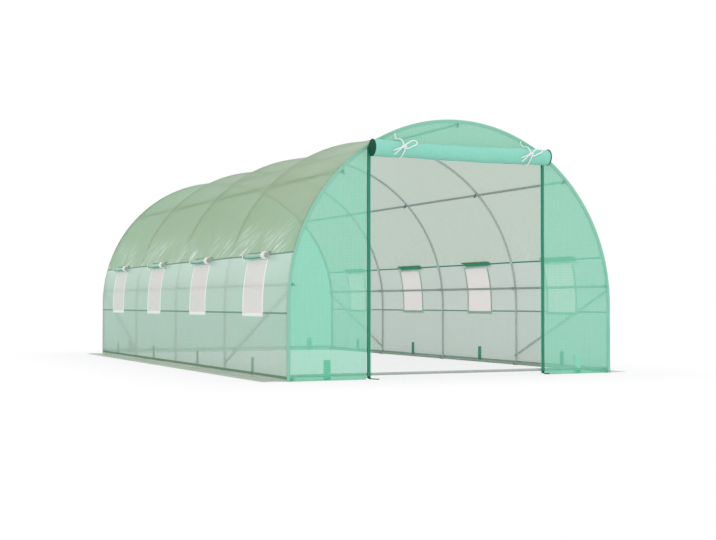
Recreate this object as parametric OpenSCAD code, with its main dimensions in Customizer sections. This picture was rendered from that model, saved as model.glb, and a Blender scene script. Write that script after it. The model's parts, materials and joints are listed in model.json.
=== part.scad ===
// Walk-in polytunnel greenhouse: five tubular steel hoops on straight legs, tied by purlins,
// ground rails and corner braces, under a fitted cover of woven sheet.
// X runs across the tunnel, Y from the door end to the far end, Z up. The origin is on the
// ground at the middle of the whole object. Millimetres.

/* [Tunnel] */
// Length over the end panels
tunnel_l = 6000; // [4000:10:8000]
// Width over the cover
tunnel_w = 3050; // [2500:10:3700]
// Height of the straight legs below the arch
leg_h = 605; // [450:5:800]

/* [Frame tubes] */
// Outer diameter of the hoop tubes
hoop_d = 22; // [18:0.5:28]
// Outer diameter of the purlins, rails and braces
rail_d = 22; // [15:0.5:24]
// Wall of every tube
tube_wall = 1.2; // [0.8:0.1:1.6]
// Length of the reduced end that plugs into the next tube
swage_l = 45; // [30:1:60]
// Length of the tapered neck behind that end
swage_neck = 6; // [4:0.5:10]
// How far a hoop's straight end reaches past the leg's reduced end
socket_spare = 5; // [2:1:15]
// Height of the side purlins
side_purlin_z = 755; // [700:5:900]
// Angle of the upper purlins round the arch
upper_purlin_a = 45; // [35:1:60]
// Height of the clips at the hoops' feet over the ground
foot_lift = 1.5; // [1:0.5:12]
// Clearance between those clips and the end rails, which pass over them
end_rail_clear = 1.2; // [1:0.1:15]
// How far the purlins run past the end hoops
purlin_end = 8; // [4:1:10]

/* [Braces] */
// Height of a brace's lower end
brace_low = 95; // [80:1:130]
// How far a brace's upper end lies below the side purlin
brace_drop = 42; // [35:1:80]
// Length of a brace's flattened end, from its hole
brace_tab_l = 24; // [18:1:35]
// Width of a brace's flattened end
brace_tab_w = 22; // [18:0.5:22]
// Length over which a brace's tube is pressed from round to flat
brace_neck_l = 34; // [20:1:60]
// Diameter of the bolt hole in a brace's end
brace_hole_d = 6.5; // [4:0.5:9]

/* [Purlin clips] */
// Length of a clip along the purlin
clip_l = 20; // [14:1:21]
// Wall of a clip
clip_wall = 3; // [2:0.5:4]
// Diameter of the tightening knob
knob_d = 20; // [14:1:24]
// Height of the tightening knob
knob_h = 9; // [6:1:14]
// Diameter of the neck between the collar and the knob
knob_neck_d = 11; // [8:1:12]
// Height of that neck
knob_neck_h = 4; // [2:1:8]
// Number of finger flutes round the knob
knob_flutes = 6; // [4:1:8]
// Diameter of a flute
knob_flute_d = 6; // [4:0.5:8]
// How far a flute's middle lies outside the knob's rim
knob_flute_out = 1; // [0:0.5:3]

/* [Cover] */
// Modelled thickness of the sheet
cover_t = 3; // [2:0.5:6]
// Width of the flap that lies on the ground along each side
flap_w = 160; // [100:5:250]
// Height of the seam under the windows
band_low = 522; // [400:1:580]
// Height of the seam over the windows
band_high = 1010; // [950:5:1150]

/* [Windows] */
// Width of a window
window_w = 440; // [350:5:650]
// How far the windows and straps lie to the left of their bays' middles, seen from outside
window_shift = 30; // [-100:5:100]
// Margin of sheet between a window and the seam under it
window_margin = 6; // [5:1:40]
// Margin of sheet between a window and the seam over it
window_head = 40; // [20:1:60]
// Diameter of the rolled window flap
window_roll_d = 44; // [30:1:90]
// How far a rolled flap is longer than its window, each side
window_roll_over = 48; // [0:1:60]
// How far a rolled flap's middle lies below the seam over the windows
window_roll_drop = 5; // [0:1:15]

/* [Doorway] */
// Clear width between the zips
door_w = 1600; // [1200:10:1700]
// Height of the panel between the doorway and the ridge
head_h = 262; // [220:2:420]
// Width of a zip's binding
zip_w = 45; // [30:1:60]
// How far the binding stands proud of the sheet
zip_proud = 1; // [0.5:0.5:3]
// Length of the rolled-up door
roll_l = 1660; // [1300:10:1760]
// Diameter of the rolled-up door
roll_d = 145; // [100:1:180]
// How far the roll's middle hangs below the doorway's upper edge
roll_drop = 18; // [0:1:40]

/* [Anchor straps] */
// Width of a strap
strap_w = 60; // [40:1:80]
// Thickness of a strap
strap_t = 3; // [2:0.5:5]
// Height of a strap's lower end
strap_low = 6; // [0:1:40]
// Height of a strap's upper end
strap_high = 162; // [120:1:250]

/* [Hidden] */
$fn = 64;
// Clearance between pieces that rest on each other
seat_gap = 0.3;
// Number of bays between the five hoops
bays = 4;
// Allowance for cutting right through a piece
cut = 1;

// Cover and hoop radii about the arch's centre, which lies at the top of the legs
cover_r = tunnel_w / 2;
cover_in = cover_r - cover_t;
hoop_r = cover_in - seat_gap - hoop_d / 2;
purlin_r = hoop_r - (hoop_d + rail_d) / 2 - seat_gap;
tunnel_h = leg_h + cover_r;

// Stations along the tunnel; the roll hangs in front of the door end
roll_out = zip_proud + seat_gap + roll_d;
front_y = (roll_out - tunnel_l) / 2;
rear_y = front_y + tunnel_l;
end_inset = cover_t + seat_gap + hoop_d / 2;
bay_l = (tunnel_l - 2 * end_inset) / bays;
function hoop_y(i) = front_y + end_inset + i * bay_l;
function bay_mid(i) = hoop_y(i) + bay_l / 2;

// Middle of the window in bay i; side is 1 for right, -1 for left
function window_y(side, i) = bay_mid(i) - side * window_shift;

// Angle round the arch at which a line of radius r reaches height z; below the arch it is 0
function angle_at(r, z) = asin(max(0, z - leg_h) / r);

// How far height z lies below the start of the arch
function drop_at(z) = max(0, leg_h - z);

// Angle round the arch that a length along the hoop covers
function hoop_angle(length) = length / hoop_r * 180 / PI;

// Heights of the ground rails: the end rails pass over the side rails
clip_collar_r = rail_d / 2 + seat_gap + clip_wall;
side_rail_z = foot_lift + clip_collar_r;
end_rail_z = side_rail_z + clip_collar_r + end_rail_clear + rail_d / 2;

side_purlin_a = angle_at(purlin_r, side_purlin_z);
side_purlin_drop = drop_at(side_purlin_z);
socket_l = swage_l + socket_spare;
leg_l = leg_h - socket_l;
arch_parts = 4;
arch_part_a = 180 / arch_parts;
roof_split_z = leg_h + cover_r * sin(upper_purlin_a);

// Places of the soft pieces
door_h = tunnel_h - head_h;
door_half = door_w / 2;
zip_half = door_half + zip_w;
roll_y = front_y - zip_proud - seat_gap - roll_d / 2;
roll_z = door_h - roll_drop;
window_low = band_low + window_margin;
window_high = band_high - window_head;
window_roll_r = cover_r + seat_gap + window_roll_d / 2;
window_roll_a = angle_at(window_roll_r, band_high - window_roll_drop);
strap_x = cover_in - seat_gap;
end_strap_x = (cover_r + zip_half) / 2;
brace_r = hoop_r - hoop_d / 2 - seat_gap - tube_wall;
brace_high_a = angle_at(brace_r, side_purlin_z - brace_drop);
brace_high_drop = drop_at(side_purlin_z - brace_drop);

// The door's tie cords: each bow lies on the roll's front, about its own middle. A point is
// [across, out from the roll's middle along Y, up from the roll's middle]
cord_d = 9;
cord_sides = 8;
bow_x = [-580, 615];
bow_route = [
  [-10, 69, 132], [-14, 62, 112], [-16, 42, 92], [-14, 14, 80], [-10, -20, 78], [-6, -51, 62],
  [-2, -70, 40], [0, -80, 10], [14, -81, -2], [36, -81, 2], [64, -80, 14], [92, -76, 26],
  [112, -71, 38], [116, -65, 50], [104, -60, 58], [80, -62, 56], [54, -69, 48], [28, -79, 36],
  [6, -91, 22], [-16, -92, 10], [-44, -87, -4], [-72, -83, -16], [-96, -82, -26]
];
tail_route = [
  [-28, 76, 17], [-28, 80, -4], [-27, 74, -32], [-25, 56, -58], [-22, 28, -76], [-18, -8, -81],
  [-14, -43, -69], [-10, -66, -47], [-12, -76, -29], [-28, -80, -32], [-52, -79, -40], [-78, -74, -48],
  [-100, -68, -54]
];

// Colours of the materials
steel = "#8b9290";
clip_plastic = "#30383a";
sheet_roof = "#9db99c";
sheet_side = "#b0d2c0";
sheet_end = "#98d8bf";
mesh_white = "#dedad6";
binding = "#3a9678";
strap_green = "#66b898";
cord_white = "#f2f4f2";

// A straight tube along Z whose top end is reduced to plug into the next one
module swaged_tube(d, l) {
  outer = d / 2;
  bore = outer - tube_wall;
  spigot = bore - seat_gap;
  spigot_bore = spigot - tube_wall;
  rotate_extrude()
    polygon([
      [bore, 0], [outer, 0], [outer, l - swage_neck], [spigot, l], [spigot, l + swage_l],
      [spigot_bore, l + swage_l], [spigot_bore, l], [bore, l - swage_neck]
    ]);
}

// A straight tube along Z with both ends open
module plain_tube(d, l) {
  difference() {
    cylinder(d = d, h = l);
    translate([0, 0, -cut]) cylinder(d = d - 2 * tube_wall, h = l + 2 * cut);
  }
}

// Tubes end to end along +Y from the origin, each plugged into the next
module tube_run(d, lengths) {
  starts = [for (i = 0, s = 0; i < len(lengths); s = s + lengths[i], i = i + 1) s];
  last = len(lengths) - 1;
  rotate([-90, 0, 0])
    for (i = [0:last])
      translate([0, 0, starts[i]])
        if (i < last) swaged_tube(d, lengths[i]);
        else plain_tube(d, lengths[i]);
}

// A bent rod of diameter d that follows the arch from angle a0 to a1
module arch_rod(d, a0, a1) {
  rotate([90, 0, 0])
    rotate_extrude(angle = a1 - a0, start = a0, $fn = 180)
      translate([hoop_r, 0]) circle(d = d, $fn = 32);
}

// One bent tube of the arch, with a reduced end unless it is the last
module arch_tube(a0, a1, last) {
  bore_d = hoop_d - 2 * tube_wall;
  spigot_d = bore_d - 2 * seat_gap;
  neck_a = hoop_angle(swage_neck);
  over = hoop_angle(cut);
  shoulder = a1 - hoop_angle(seat_gap);
  tip = a1 + hoop_angle(swage_l);
  if (last)
    difference() {
      arch_rod(hoop_d, a0, a1);
      arch_rod(bore_d, a0 - over, a1 + over);
    }
  else
    difference() {
      union() {
        arch_rod(hoop_d, a0, shoulder);
        arch_rod(spigot_d, shoulder - neck_a, tip);
      }
      arch_rod(bore_d, a0 - over, shoulder - neck_a);
      arch_rod(spigot_d - 2 * tube_wall, shoulder - 2 * neck_a, tip + over);
    }
}

// The bent part of one hoop, whose straight ends are sockets for the legs
module hoop(i) {
  color(steel)
    translate([0, hoop_y(i), leg_h]) {
      for (part = [0:arch_parts - 1])
        arch_tube(part * arch_part_a, (part + 1) * arch_part_a, part == arch_parts - 1);
      for (x = [-hoop_r, hoop_r])
        translate([x, 0, -socket_l]) plain_tube(hoop_d, socket_l);
    }
}

// Legs of one side, whose reduced tops plug into the arches; side is 1 for right, -1 for left
module legs(side) {
  color(steel)
    for (i = [0:bays])
      translate([side * hoop_r, hoop_y(i), 0]) swaged_tube(hoop_d, leg_l);
}

// Lengths of a purlin's tubes: one to a bay, the end ones a little longer
purlin_lengths = [
  for (i = [0:bays - 1])
    bay_l + (i == 0 ? purlin_end : 0) + (i == bays - 1 ? purlin_end : 0)
];

// A purlin on the inner side of the hoops, at angle a from the right-hand end of the arch, or
// lower by drop where it lies on the legs
module purlin_at(a, drop = 0) {
  color(steel)
    translate([purlin_r * cos(a), hoop_y(0) - purlin_end, leg_h - drop + purlin_r * sin(a)])
      tube_run(rail_d, purlin_lengths);
}

// Rails on the ground between the corner legs, behind the end straps, each of two tubes
module end_ground_rails() {
  half = hoop_r - hoop_d / 2 - seat_gap;
  inset = cover_t + strap_t + 2 * seat_gap + rail_d / 2;
  color(steel)
    for (y = [front_y + inset, rear_y - inset])
      translate([-half, y, end_rail_z])
        rotate([0, 0, -90]) tube_run(rail_d, [half, half]);
}

// A flattened tube end, in the YZ plane and pointing along +Z, its hole at the origin
module brace_tab() {
  rotate([90, 0, 90])
    linear_extrude(2 * tube_wall, center = true)
      difference() {
        union() {
          circle(d = brace_tab_w);
          translate([-brace_tab_w / 2, 0]) square([brace_tab_w, brace_tab_l]);
        }
        circle(d = brace_hole_d);
      }
}

// A thin slice of the flattened end, a little smaller than it, from which the neck swells
module tab_slice() {
  translate([-tube_wall + seat_gap, seat_gap - brace_tab_w / 2, brace_tab_l - cut])
    cube([2 * (tube_wall - seat_gap), brace_tab_w - 2 * seat_gap, cut]);
}

// A thin slice of the brace's round tube, at height z
module tube_slice(z) {
  translate([0, 0, z]) cylinder(d = rail_d - 2 * seat_gap, h = cut, $fn = 32);
}

// Brace in an end bay of the right-hand side, from the foot of hoop i up to the end hoop at y_end
module brace(i, y_end) {
  low = [brace_r, hoop_y(i), brace_low];
  high = [brace_r * cos(brace_high_a), y_end, leg_h - brace_high_drop + brace_r * sin(brace_high_a)];
  run = high - low;
  span = norm(run);
  lean = atan2(-run.y, run.z);
  inward = atan2(run.x, norm([run.y, run.z]));
  tube_from = brace_tab_l + brace_neck_l;
  translate(low)
    rotate([lean, 0, 0]) {
      brace_tab();
      rotate([0, inward, 0]) translate([0, 0, tube_from]) cylinder(d = rail_d, h = span - 2 * tube_from);
      hull() {
        tab_slice();
        rotate([0, inward, 0]) tube_slice(tube_from);
      }
    }
  translate(high) rotate([0, -brace_high_a, 0]) rotate([lean + 180, 0, 0]) brace_tab();
  hull() {
    translate(high) rotate([0, -brace_high_a, 0]) rotate([lean + 180, 0, 0]) tab_slice();
    translate(low) rotate([lean, 0, 0]) rotate([0, inward, 0]) tube_slice(span - tube_from - cut);
  }
}

// Both braces of one side
module braces(side) {
  color(steel)
    mirror([side < 0 ? 1 : 0, 0, 0]) {
      brace(1, hoop_y(0));
      brace(bays - 1, hoop_y(bays));
    }
}

// A tightening knob along +Z with finger flutes round its rim, and the neck that carries it
module knob() {
  difference() {
    cylinder(d = knob_d, h = knob_h);
    for (i = [0:knob_flutes - 1])
      rotate([0, 0, i * 360 / knob_flutes])
        translate([knob_d / 2 + knob_flute_out, 0, -cut]) cylinder(d = knob_flute_d, h = knob_h + 2 * cut);
  }
  translate([0, 0, knob_h]) cylinder(d = knob_neck_d, h = knob_neck_h + clip_wall);
}

// A clip that holds a purlin under a hoop: a collar round the purlin, notched for the hoop, with
// a knob. Its origin is on the hoop's axis, X outwards and Z along the hoop
module clip() {
  purlin_x = purlin_r - hoop_r;
  collar_d = 2 * clip_collar_r;
  knob_x = purlin_x - clip_collar_r - knob_neck_h - knob_h;
  difference() {
    union() {
      translate([purlin_x, 0, 0]) rotate([90, 0, 0]) cylinder(d = collar_d, h = clip_l, center = true);
      translate([knob_x, 0, 0]) rotate([0, 90, 0]) knob();
    }
    translate([purlin_x, 0, 0])
      rotate([90, 0, 0]) cylinder(d = rail_d + 2 * seat_gap, h = clip_l + 2 * cut, center = true);
    cylinder(d = hoop_d + 2 * seat_gap, h = 2 * collar_d, center = true);
  }
}

// Clips on every hoop, for a purlin at angle a and lower by drop
module clips_at(a, drop = 0) {
  color(clip_plastic)
    for (i = [0:bays])
      translate([0, hoop_y(i), leg_h - drop])
        rotate([0, -a, 0]) translate([hoop_r, 0, 0]) clip();
}

module upper_clips() {
  for (a = [upper_purlin_a, 180 - upper_purlin_a]) clips_at(a);
}

module side_clips() {
  for (a = [side_purlin_a, 180 - side_purlin_a]) clips_at(a, side_purlin_drop);
}

module foot_clips() {
  for (a = [0, 180]) clips_at(a, drop_at(side_rail_z));
}

// The right half of the cover between the end panels: a flat wall below, a quarter arch above
module half_cover() {
  length = tunnel_l - 2 * cover_t;
  translate([0, rear_y - cover_t, 0]) {
    translate([cover_in, -length, 0]) cube([cover_t, length, leg_h]);
    translate([0, 0, leg_h])
      rotate([90, 0, 0])
        rotate_extrude(angle = 90, $fn = 180)
          translate([cover_in, 0]) square([cover_t, length]);
  }
}

// The strip of one side's cover between two heights
module cover_strip(side, z0, z1) {
  mirror([side < 0 ? 1 : 0, 0, 0])
    intersection() {
      half_cover();
      translate([0, front_y, z0]) cube([tunnel_w, tunnel_l, z1 - z0]);
    }
}

module lower_wall(side) {
  color(sheet_side) cover_strip(side, 0, band_low);
}

// Blocks through the wall where the windows are, each smaller than its opening by trim all round
module window_blocks(side, trim) {
  for (i = [0:bays - 1])
    translate([side > 0 ? 0 : -tunnel_w, window_y(side, i) - window_w / 2 + trim, window_low + trim])
      cube([tunnel_w, window_w - 2 * trim, window_high - window_low - 2 * trim]);
}

module window_band(side) {
  color(sheet_side)
    difference() {
      cover_strip(side, band_low, band_high);
      window_blocks(side, 0);
    }
}

// Panels of netting that close the windows
module window_mesh(side) {
  color(mesh_white)
    intersection() {
      cover_strip(side, band_low, band_high);
      window_blocks(side, seat_gap);
    }
}

module roof_lower(side) {
  color(sheet_roof) cover_strip(side, band_high, roof_split_z);
}

module roof_upper(side) {
  color(sheet_roof) cover_strip(side, roof_split_z, tunnel_h + cut);
}

// Rolled flap above each window
module window_rolls(side) {
  length = window_w + 2 * window_roll_over;
  color(sheet_end)
    for (i = [0:bays - 1])
      translate([
        side * window_roll_r * cos(window_roll_a),
        window_y(side, i),
        leg_h + window_roll_r * sin(window_roll_a)
      ])
        rotate([90, 0, 0]) cylinder(d = window_roll_d, h = length, center = true);
}

// The tunnel's end outline as a slab of thickness t, its outer face towards -Y at y
module end_slab(y, t) {
  translate([0, y + t, 0])
    union() {
      translate([-cover_r, -t, 0]) cube([tunnel_w, t, leg_h]);
      translate([0, 0, leg_h]) rotate([90, 0, 0]) cylinder(r = cover_r, h = t, $fn = 180);
    }
}

module front_side_panel(side) {
  color(sheet_end)
    intersection() {
      end_slab(front_y, cover_t);
      translate([side > 0 ? zip_half : -zip_half - tunnel_w, front_y - cut, 0])
        cube([tunnel_w, cover_t + 2 * cut, tunnel_h + cut]);
    }
}

module front_head_panel() {
  color(sheet_end)
    intersection() {
      end_slab(front_y, cover_t);
      translate([-zip_half, front_y - cut, door_h]) cube([2 * zip_half, cover_t + 2 * cut, tunnel_h]);
    }
}

module rear_panel() {
  color(sheet_end) intersection() {
    end_slab(rear_y - cover_t, cover_t);
    translate([-tunnel_w, rear_y - cover_t - cut, 0]) cube([2 * tunnel_w, cover_t + 2 * cut, tunnel_h + cut]);
  }
}

module ground_flap(side) {
  color(sheet_side)
    translate([side > 0 ? cover_r : -cover_r - flap_w, front_y, 0]) cube([flap_w, tunnel_l, cover_t]);
}

// The door, rolled up in front of the doorway's upper edge
module door_roll() {
  color(sheet_end)
    translate([0, roll_y, roll_z]) rotate([0, 90, 0]) cylinder(d = roll_d, h = roll_l, center = true);
}

// Bindings of the zips, up both edges of the doorway
module door_zips() {
  depth = cover_t + zip_proud;
  color(binding)
    intersection() {
      end_slab(front_y - zip_proud, depth);
      for (x = [-zip_half, door_half])
        translate([x, front_y - zip_proud - cut, 0]) cube([zip_w, depth + 2 * cut, door_h]);
    }
}

// Straps inside the side walls that hold the cover down, one to a bay
module side_anchor_straps() {
  color(strap_green)
    for (side = [-1, 1], i = [0:bays - 1])
      translate([side > 0 ? strap_x - strap_t : -strap_x, window_y(side, i) - strap_w / 2, strap_low])
        cube([strap_t, strap_w, strap_high - strap_low]);
}

// Straps inside the end panels
module end_anchor_straps() {
  front = front_y + cover_t + seat_gap;
  rear = rear_y - cover_t - seat_gap - strap_t;
  color(strap_green)
    for (x = [-end_strap_x, end_strap_x], y = [front, rear])
      translate([x - strap_w / 2, y, strap_low]) cube([strap_w, strap_t, strap_high - strap_low]);
}

// Direction of a route at point i
function along(route, i) =
  let (a = route[max(i - 1, 0)], b = route[min(i + 1, len(route) - 1)])
  (b - a) / norm(b - a);

// A unit vector across direction t, close to v
function across(t, v) =
  let (w = v - (v * t) * t)
  w / norm(w);

// The across vectors of a route, each carried on from the one before so that the tube isn't twisted
function across_list(route, i, before) =
  i == len(route) ? [] :
  let (now = across(along(route, i), before))
  concat([now], across_list(route, i + 1, now));

// A cord swept along a route
module cord(route) {
  sides = across_list(route, 0, [0.3, 0.2, 1]);
  n = cord_sides;
  count = len(route);
  points = [
    for (i = [0:count - 1], k = [0:n - 1])
      let (u = sides[i], v = cross(along(route, i), u), a = 360 * k / n)
      route[i] + cord_d / 2 * (cos(a) * u + sin(a) * v)
  ];
  skin = [
    for (i = [0:count - 2], k = [0:n - 1])
      [i * n + k, (i + 1) * n + k, (i + 1) * n + (k + 1) % n, i * n + (k + 1) % n]
  ];
  near_cap = [for (k = [0:n - 1]) k];
  far_cap = [for (k = [n - 1:-1:0]) (count - 1) * n + k];
  polyhedron(points, concat(skin, [near_cap, far_cap]));
}

// One tie cord of the bow at x
module tie(x, route) {
  color(cord_white) translate([x, roll_y, roll_z]) cord(route);
}

hoop(0);  // hoop_1
hoop(1);  // hoop_2
hoop(2);  // hoop_3
hoop(3);  // hoop_4
hoop(4);  // hoop_5
legs(-1);  // left_legs
legs(1);  // right_legs
purlin_at(90);  // ridge_purlin
purlin_at(180 - upper_purlin_a);  // left_upper_purlin
purlin_at(upper_purlin_a);  // right_upper_purlin
purlin_at(180 - side_purlin_a, side_purlin_drop);  // left_side_purlin
purlin_at(side_purlin_a, side_purlin_drop);  // right_side_purlin
purlin_at(180, drop_at(side_rail_z));  // left_ground_rail
purlin_at(0, drop_at(side_rail_z));  // right_ground_rail
end_ground_rails();
braces(-1);  // left_braces
braces(1);  // right_braces
clips_at(90);  // ridge_clips
upper_clips();
side_clips();
foot_clips();
lower_wall(-1);  // left_lower_wall
lower_wall(1);  // right_lower_wall
window_band(-1);  // left_window_band
window_band(1);  // right_window_band
roof_lower(-1);  // left_roof_lower
roof_lower(1);  // right_roof_lower
roof_upper(-1);  // left_roof_upper
roof_upper(1);  // right_roof_upper
front_side_panel(-1);  // front_left_panel
front_side_panel(1);  // front_right_panel
front_head_panel();
rear_panel();
ground_flap(-1);  // left_ground_flap
ground_flap(1);  // right_ground_flap
window_mesh(-1);  // left_window_mesh
window_mesh(1);  // right_window_mesh
window_rolls(-1);  // left_window_rolls
window_rolls(1);  // right_window_rolls
door_roll();
door_zips();
side_anchor_straps();
end_anchor_straps();
tie(bow_x[0], bow_route);  // left_tie_bow
tie(bow_x[0], tail_route);  // left_tie_tail
tie(bow_x[1], bow_route);  // right_tie_bow
tie(bow_x[1], tail_route);  // right_tie_tail
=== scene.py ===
"""Walk-in polytunnel greenhouse: its cover, netting, zips, straps and tie cords, and every finish.

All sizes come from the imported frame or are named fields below. Metres, +X to the right seen from the
door end, +Y from the door end to the far end, +Z up.
"""

import json
import logging
import math
from dataclasses import dataclass, field
from enum import Enum
from typing import Iterable, Sequence

import bpy
import numpy as np
from bpy.types import ID, Material, Node, NodeSocket, NodeTree, Object
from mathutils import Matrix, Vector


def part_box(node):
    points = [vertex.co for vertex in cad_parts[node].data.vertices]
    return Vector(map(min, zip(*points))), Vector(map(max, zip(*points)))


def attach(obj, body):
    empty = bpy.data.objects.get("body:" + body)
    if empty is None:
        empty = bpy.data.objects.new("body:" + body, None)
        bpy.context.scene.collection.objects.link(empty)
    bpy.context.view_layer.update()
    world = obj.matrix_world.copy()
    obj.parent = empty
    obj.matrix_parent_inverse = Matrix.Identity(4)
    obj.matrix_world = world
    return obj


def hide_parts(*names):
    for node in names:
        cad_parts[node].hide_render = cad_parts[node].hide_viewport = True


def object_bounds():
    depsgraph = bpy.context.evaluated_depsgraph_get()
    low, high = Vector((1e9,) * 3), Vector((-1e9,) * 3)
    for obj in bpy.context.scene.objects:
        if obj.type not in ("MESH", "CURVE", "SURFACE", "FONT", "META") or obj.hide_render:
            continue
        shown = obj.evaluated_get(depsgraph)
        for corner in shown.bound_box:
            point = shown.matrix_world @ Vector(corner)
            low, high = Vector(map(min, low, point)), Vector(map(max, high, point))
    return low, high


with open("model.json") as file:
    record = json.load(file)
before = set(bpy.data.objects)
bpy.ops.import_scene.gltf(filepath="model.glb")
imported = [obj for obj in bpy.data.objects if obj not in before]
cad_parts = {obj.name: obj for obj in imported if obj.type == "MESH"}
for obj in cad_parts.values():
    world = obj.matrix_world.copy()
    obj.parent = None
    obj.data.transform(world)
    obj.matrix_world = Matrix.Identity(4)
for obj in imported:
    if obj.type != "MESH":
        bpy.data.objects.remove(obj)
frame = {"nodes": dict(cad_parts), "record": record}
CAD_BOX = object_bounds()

LOG = logging.getLogger("polytunnel")
MM = 0.001
UV_NAME = "metres"
# How far the sheets lie inside the outer faces of their solids
SHEET_INSET = 1 * MM
# X of the two cords that hold the rolled door
TIE_PLACES = (-0.58, 0.615)
Points = np.ndarray
Colour = tuple[float, float, float, float]


class Slot(Enum):
    """Material slots of the record."""

    TUBE = "galvanised_tube"
    CLIP = "clip_plastic"
    SIDE = "side_sheet"
    END = "end_sheet"
    NETTING = "window_netting"
    BINDING = "zip_binding"
    STRAP = "strap_webbing"
    CORD = "tie_cord"


class Side(Enum):
    """The two long sides of the tunnel, by the sign of X."""

    LEFT = -1
    RIGHT = 1

    @property
    def word(self) -> str:
        """The side's name in the names of nodes and pieces."""
        return self.name.lower()


# Shared helpers for nodes, meshes and pieces


def linear(hex_colour: str) -> Colour:
    """Turns an sRGB hex colour into linear RGBA.

    Args:
        hex_colour: Six hex digits, with or without a leading mark.

    Returns:
        Linear red, green and blue, and an alpha of 1.
    """
    digits = hex_colour.lstrip("#")
    parts = [int(digits[i:i + 2], 16) / 255 for i in (0, 2, 4)]
    red, green, blue = (c / 12.92 if c <= 0.04045 else ((c + 0.055) / 1.055) ** 2.4 for c in parts)
    return red, green, blue, 1.0


def add_node(tree: NodeTree, kind: str, inputs: dict | None = None, **settings: object) -> Node:
    """Adds a node with its settings, values and links.

    Args:
        tree: The tree that gets the node.
        kind: The node's type name.
        inputs: Input name or index to a value, to the output socket that feeds it, or to the node whose first
            output does.
        **settings: Properties of the node itself.

    Returns:
        The new node.
    """
    node = tree.nodes.new(kind)
    for name, value in settings.items():
        setattr(node, name, value)
    for key, value in (inputs or {}).items():
        if isinstance(value, (Node, NodeSocket)):
            tree.links.new(value.outputs[0] if isinstance(value, Node) else value, node.inputs[key])
        else:
            node.inputs[key].default_value = value
    return node


def new_material(name: str) -> tuple[Material, NodeTree]:
    """Makes a material with an empty node tree.

    Args:
        name: The material's name.

    Returns:
        The material and its tree.
    """
    material = bpy.data.materials.new(name)
    material.use_nodes = True
    material.node_tree.nodes.clear()
    return material, material.node_tree


def grid_faces(rows: int, columns: int, start: int = 0, closed: bool = False) -> list[tuple[int, ...]]:
    """Quads of a grid of points stored row by row.

    Args:
        rows: Number of rows.
        columns: Points in a row.
        start: Index of the first point.
        closed: Whether each row is a ring.

    Returns:
        Faces as tuples of point indices.
    """
    faces = []
    for i in range(rows - 1):
        for j in range(columns if closed else columns - 1):
            k = (j + 1) % columns
            a, b = start + i * columns, start + (i + 1) * columns
            faces.append((a + j, a + k, b + k, b + j))
    return faces


def fan_faces(count: int) -> list[tuple[int, ...]]:
    """Triangles between a ring of points and the point stored after it."""
    return [(i, (i + 1) % count, count) for i in range(count)]


def joined(*parts: float | Points) -> Points:
    """Puts one array or number for each coordinate together into points, along a new last axis."""
    return np.stack(np.broadcast_arrays(*parts), axis=-1)


def run_length(path: Points) -> Points:
    """Distance along a path to each of its points."""
    return np.concatenate([[0], np.cumsum(np.linalg.norm(np.diff(path, axis=0), axis=1))])


def new_object(name: str, data: ID) -> Object:
    """Makes an object and links it to the scene.

    Args:
        name: The object's name.
        data: Its mesh, lamp or camera.

    Returns:
        The new object.
    """
    made = bpy.data.objects.new(name, data)
    bpy.context.scene.collection.objects.link(made)
    return made


@dataclass
class MeshDraft:
    """Points, faces and UVs of a piece while it is put together."""

    points: list[Points] = field(default_factory=list)
    uvs: list[Points] = field(default_factory=list)
    faces: list[tuple[int, ...]] = field(default_factory=list)
    slots: list[int] = field(default_factory=list)
    count: int = 0

    def add(self, points: Points, uvs: Points, faces: Iterable[tuple[int, ...]], slot: int = 0) -> None:
        """Adds a block of points with faces numbered from 0.

        Args:
            points: Array of points, one row each.
            uvs: Array of UVs in metres, one row a point.
            faces: Faces that count from the block's first point.
            slot: Index of the faces' material.
        """
        block = [tuple(self.count + i for i in face) for face in faces]
        self.points.append(points.reshape(-1, 3))
        self.uvs.append(uvs.reshape(-1, 2))
        self.faces += block
        self.slots += [slot] * len(block)
        self.count += len(self.points[-1])

    def add_grid(self, points: Points, uvs: Points, slot: int = 0, closed: bool = False,
                 flip: bool = False) -> None:
        """Adds a grid of points of shape (rows, columns, 3).

        Args:
            points: The grid.
            uvs: UVs of shape (rows, columns, 2).
            slot: Index of the faces' material.
            closed: Whether each row is a ring.
            flip: Whether the faces turn the other way.
        """
        faces = grid_faces(points.shape[0], points.shape[1], closed=closed)
        self.add(points, uvs, [face[::-1] for face in faces] if flip else faces, slot)

    def build(self, name: str, materials: Sequence[Material]) -> Object:
        """Makes the object, smooth shaded, with a UV map in metres.

        Args:
            name: Name of the piece.
            materials: Its materials, in the order of the slot numbers.

        Returns:
            The new object, linked to the scene.
        """
        mesh = bpy.data.meshes.new(name)
        mesh.from_pydata(np.concatenate(self.points).tolist(), [], self.faces)
        for material in materials:
            mesh.materials.append(material)
        mesh.polygons.foreach_set("material_index", self.slots)
        mesh.polygons.foreach_set("use_smooth", [True] * len(self.faces))
        loops = np.empty(len(mesh.loops), dtype=np.int32)
        mesh.loops.foreach_get("vertex_index", loops)
        layer = mesh.uv_layers.new(name=UV_NAME)
        layer.data.foreach_set("uv", np.concatenate(self.uvs)[loops].astype(np.float32).ravel())
        mesh.update()
        return new_object(name, mesh)


def settle(piece: Object, slot: Slot, *nodes: str) -> Object:
    """Makes a piece ride on the frame and stand for CAD nodes.

    Args:
        piece: The finished object.
        slot: The record's slot; not used.
        *nodes: CAD nodes that it replaces.

    Returns:
        The same object.
    """
    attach(piece, "root")
    if nodes:
        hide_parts(*nodes)
    LOG.info("%s: %d faces", piece.name, len(piece.data.polygons))
    return piece


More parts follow.
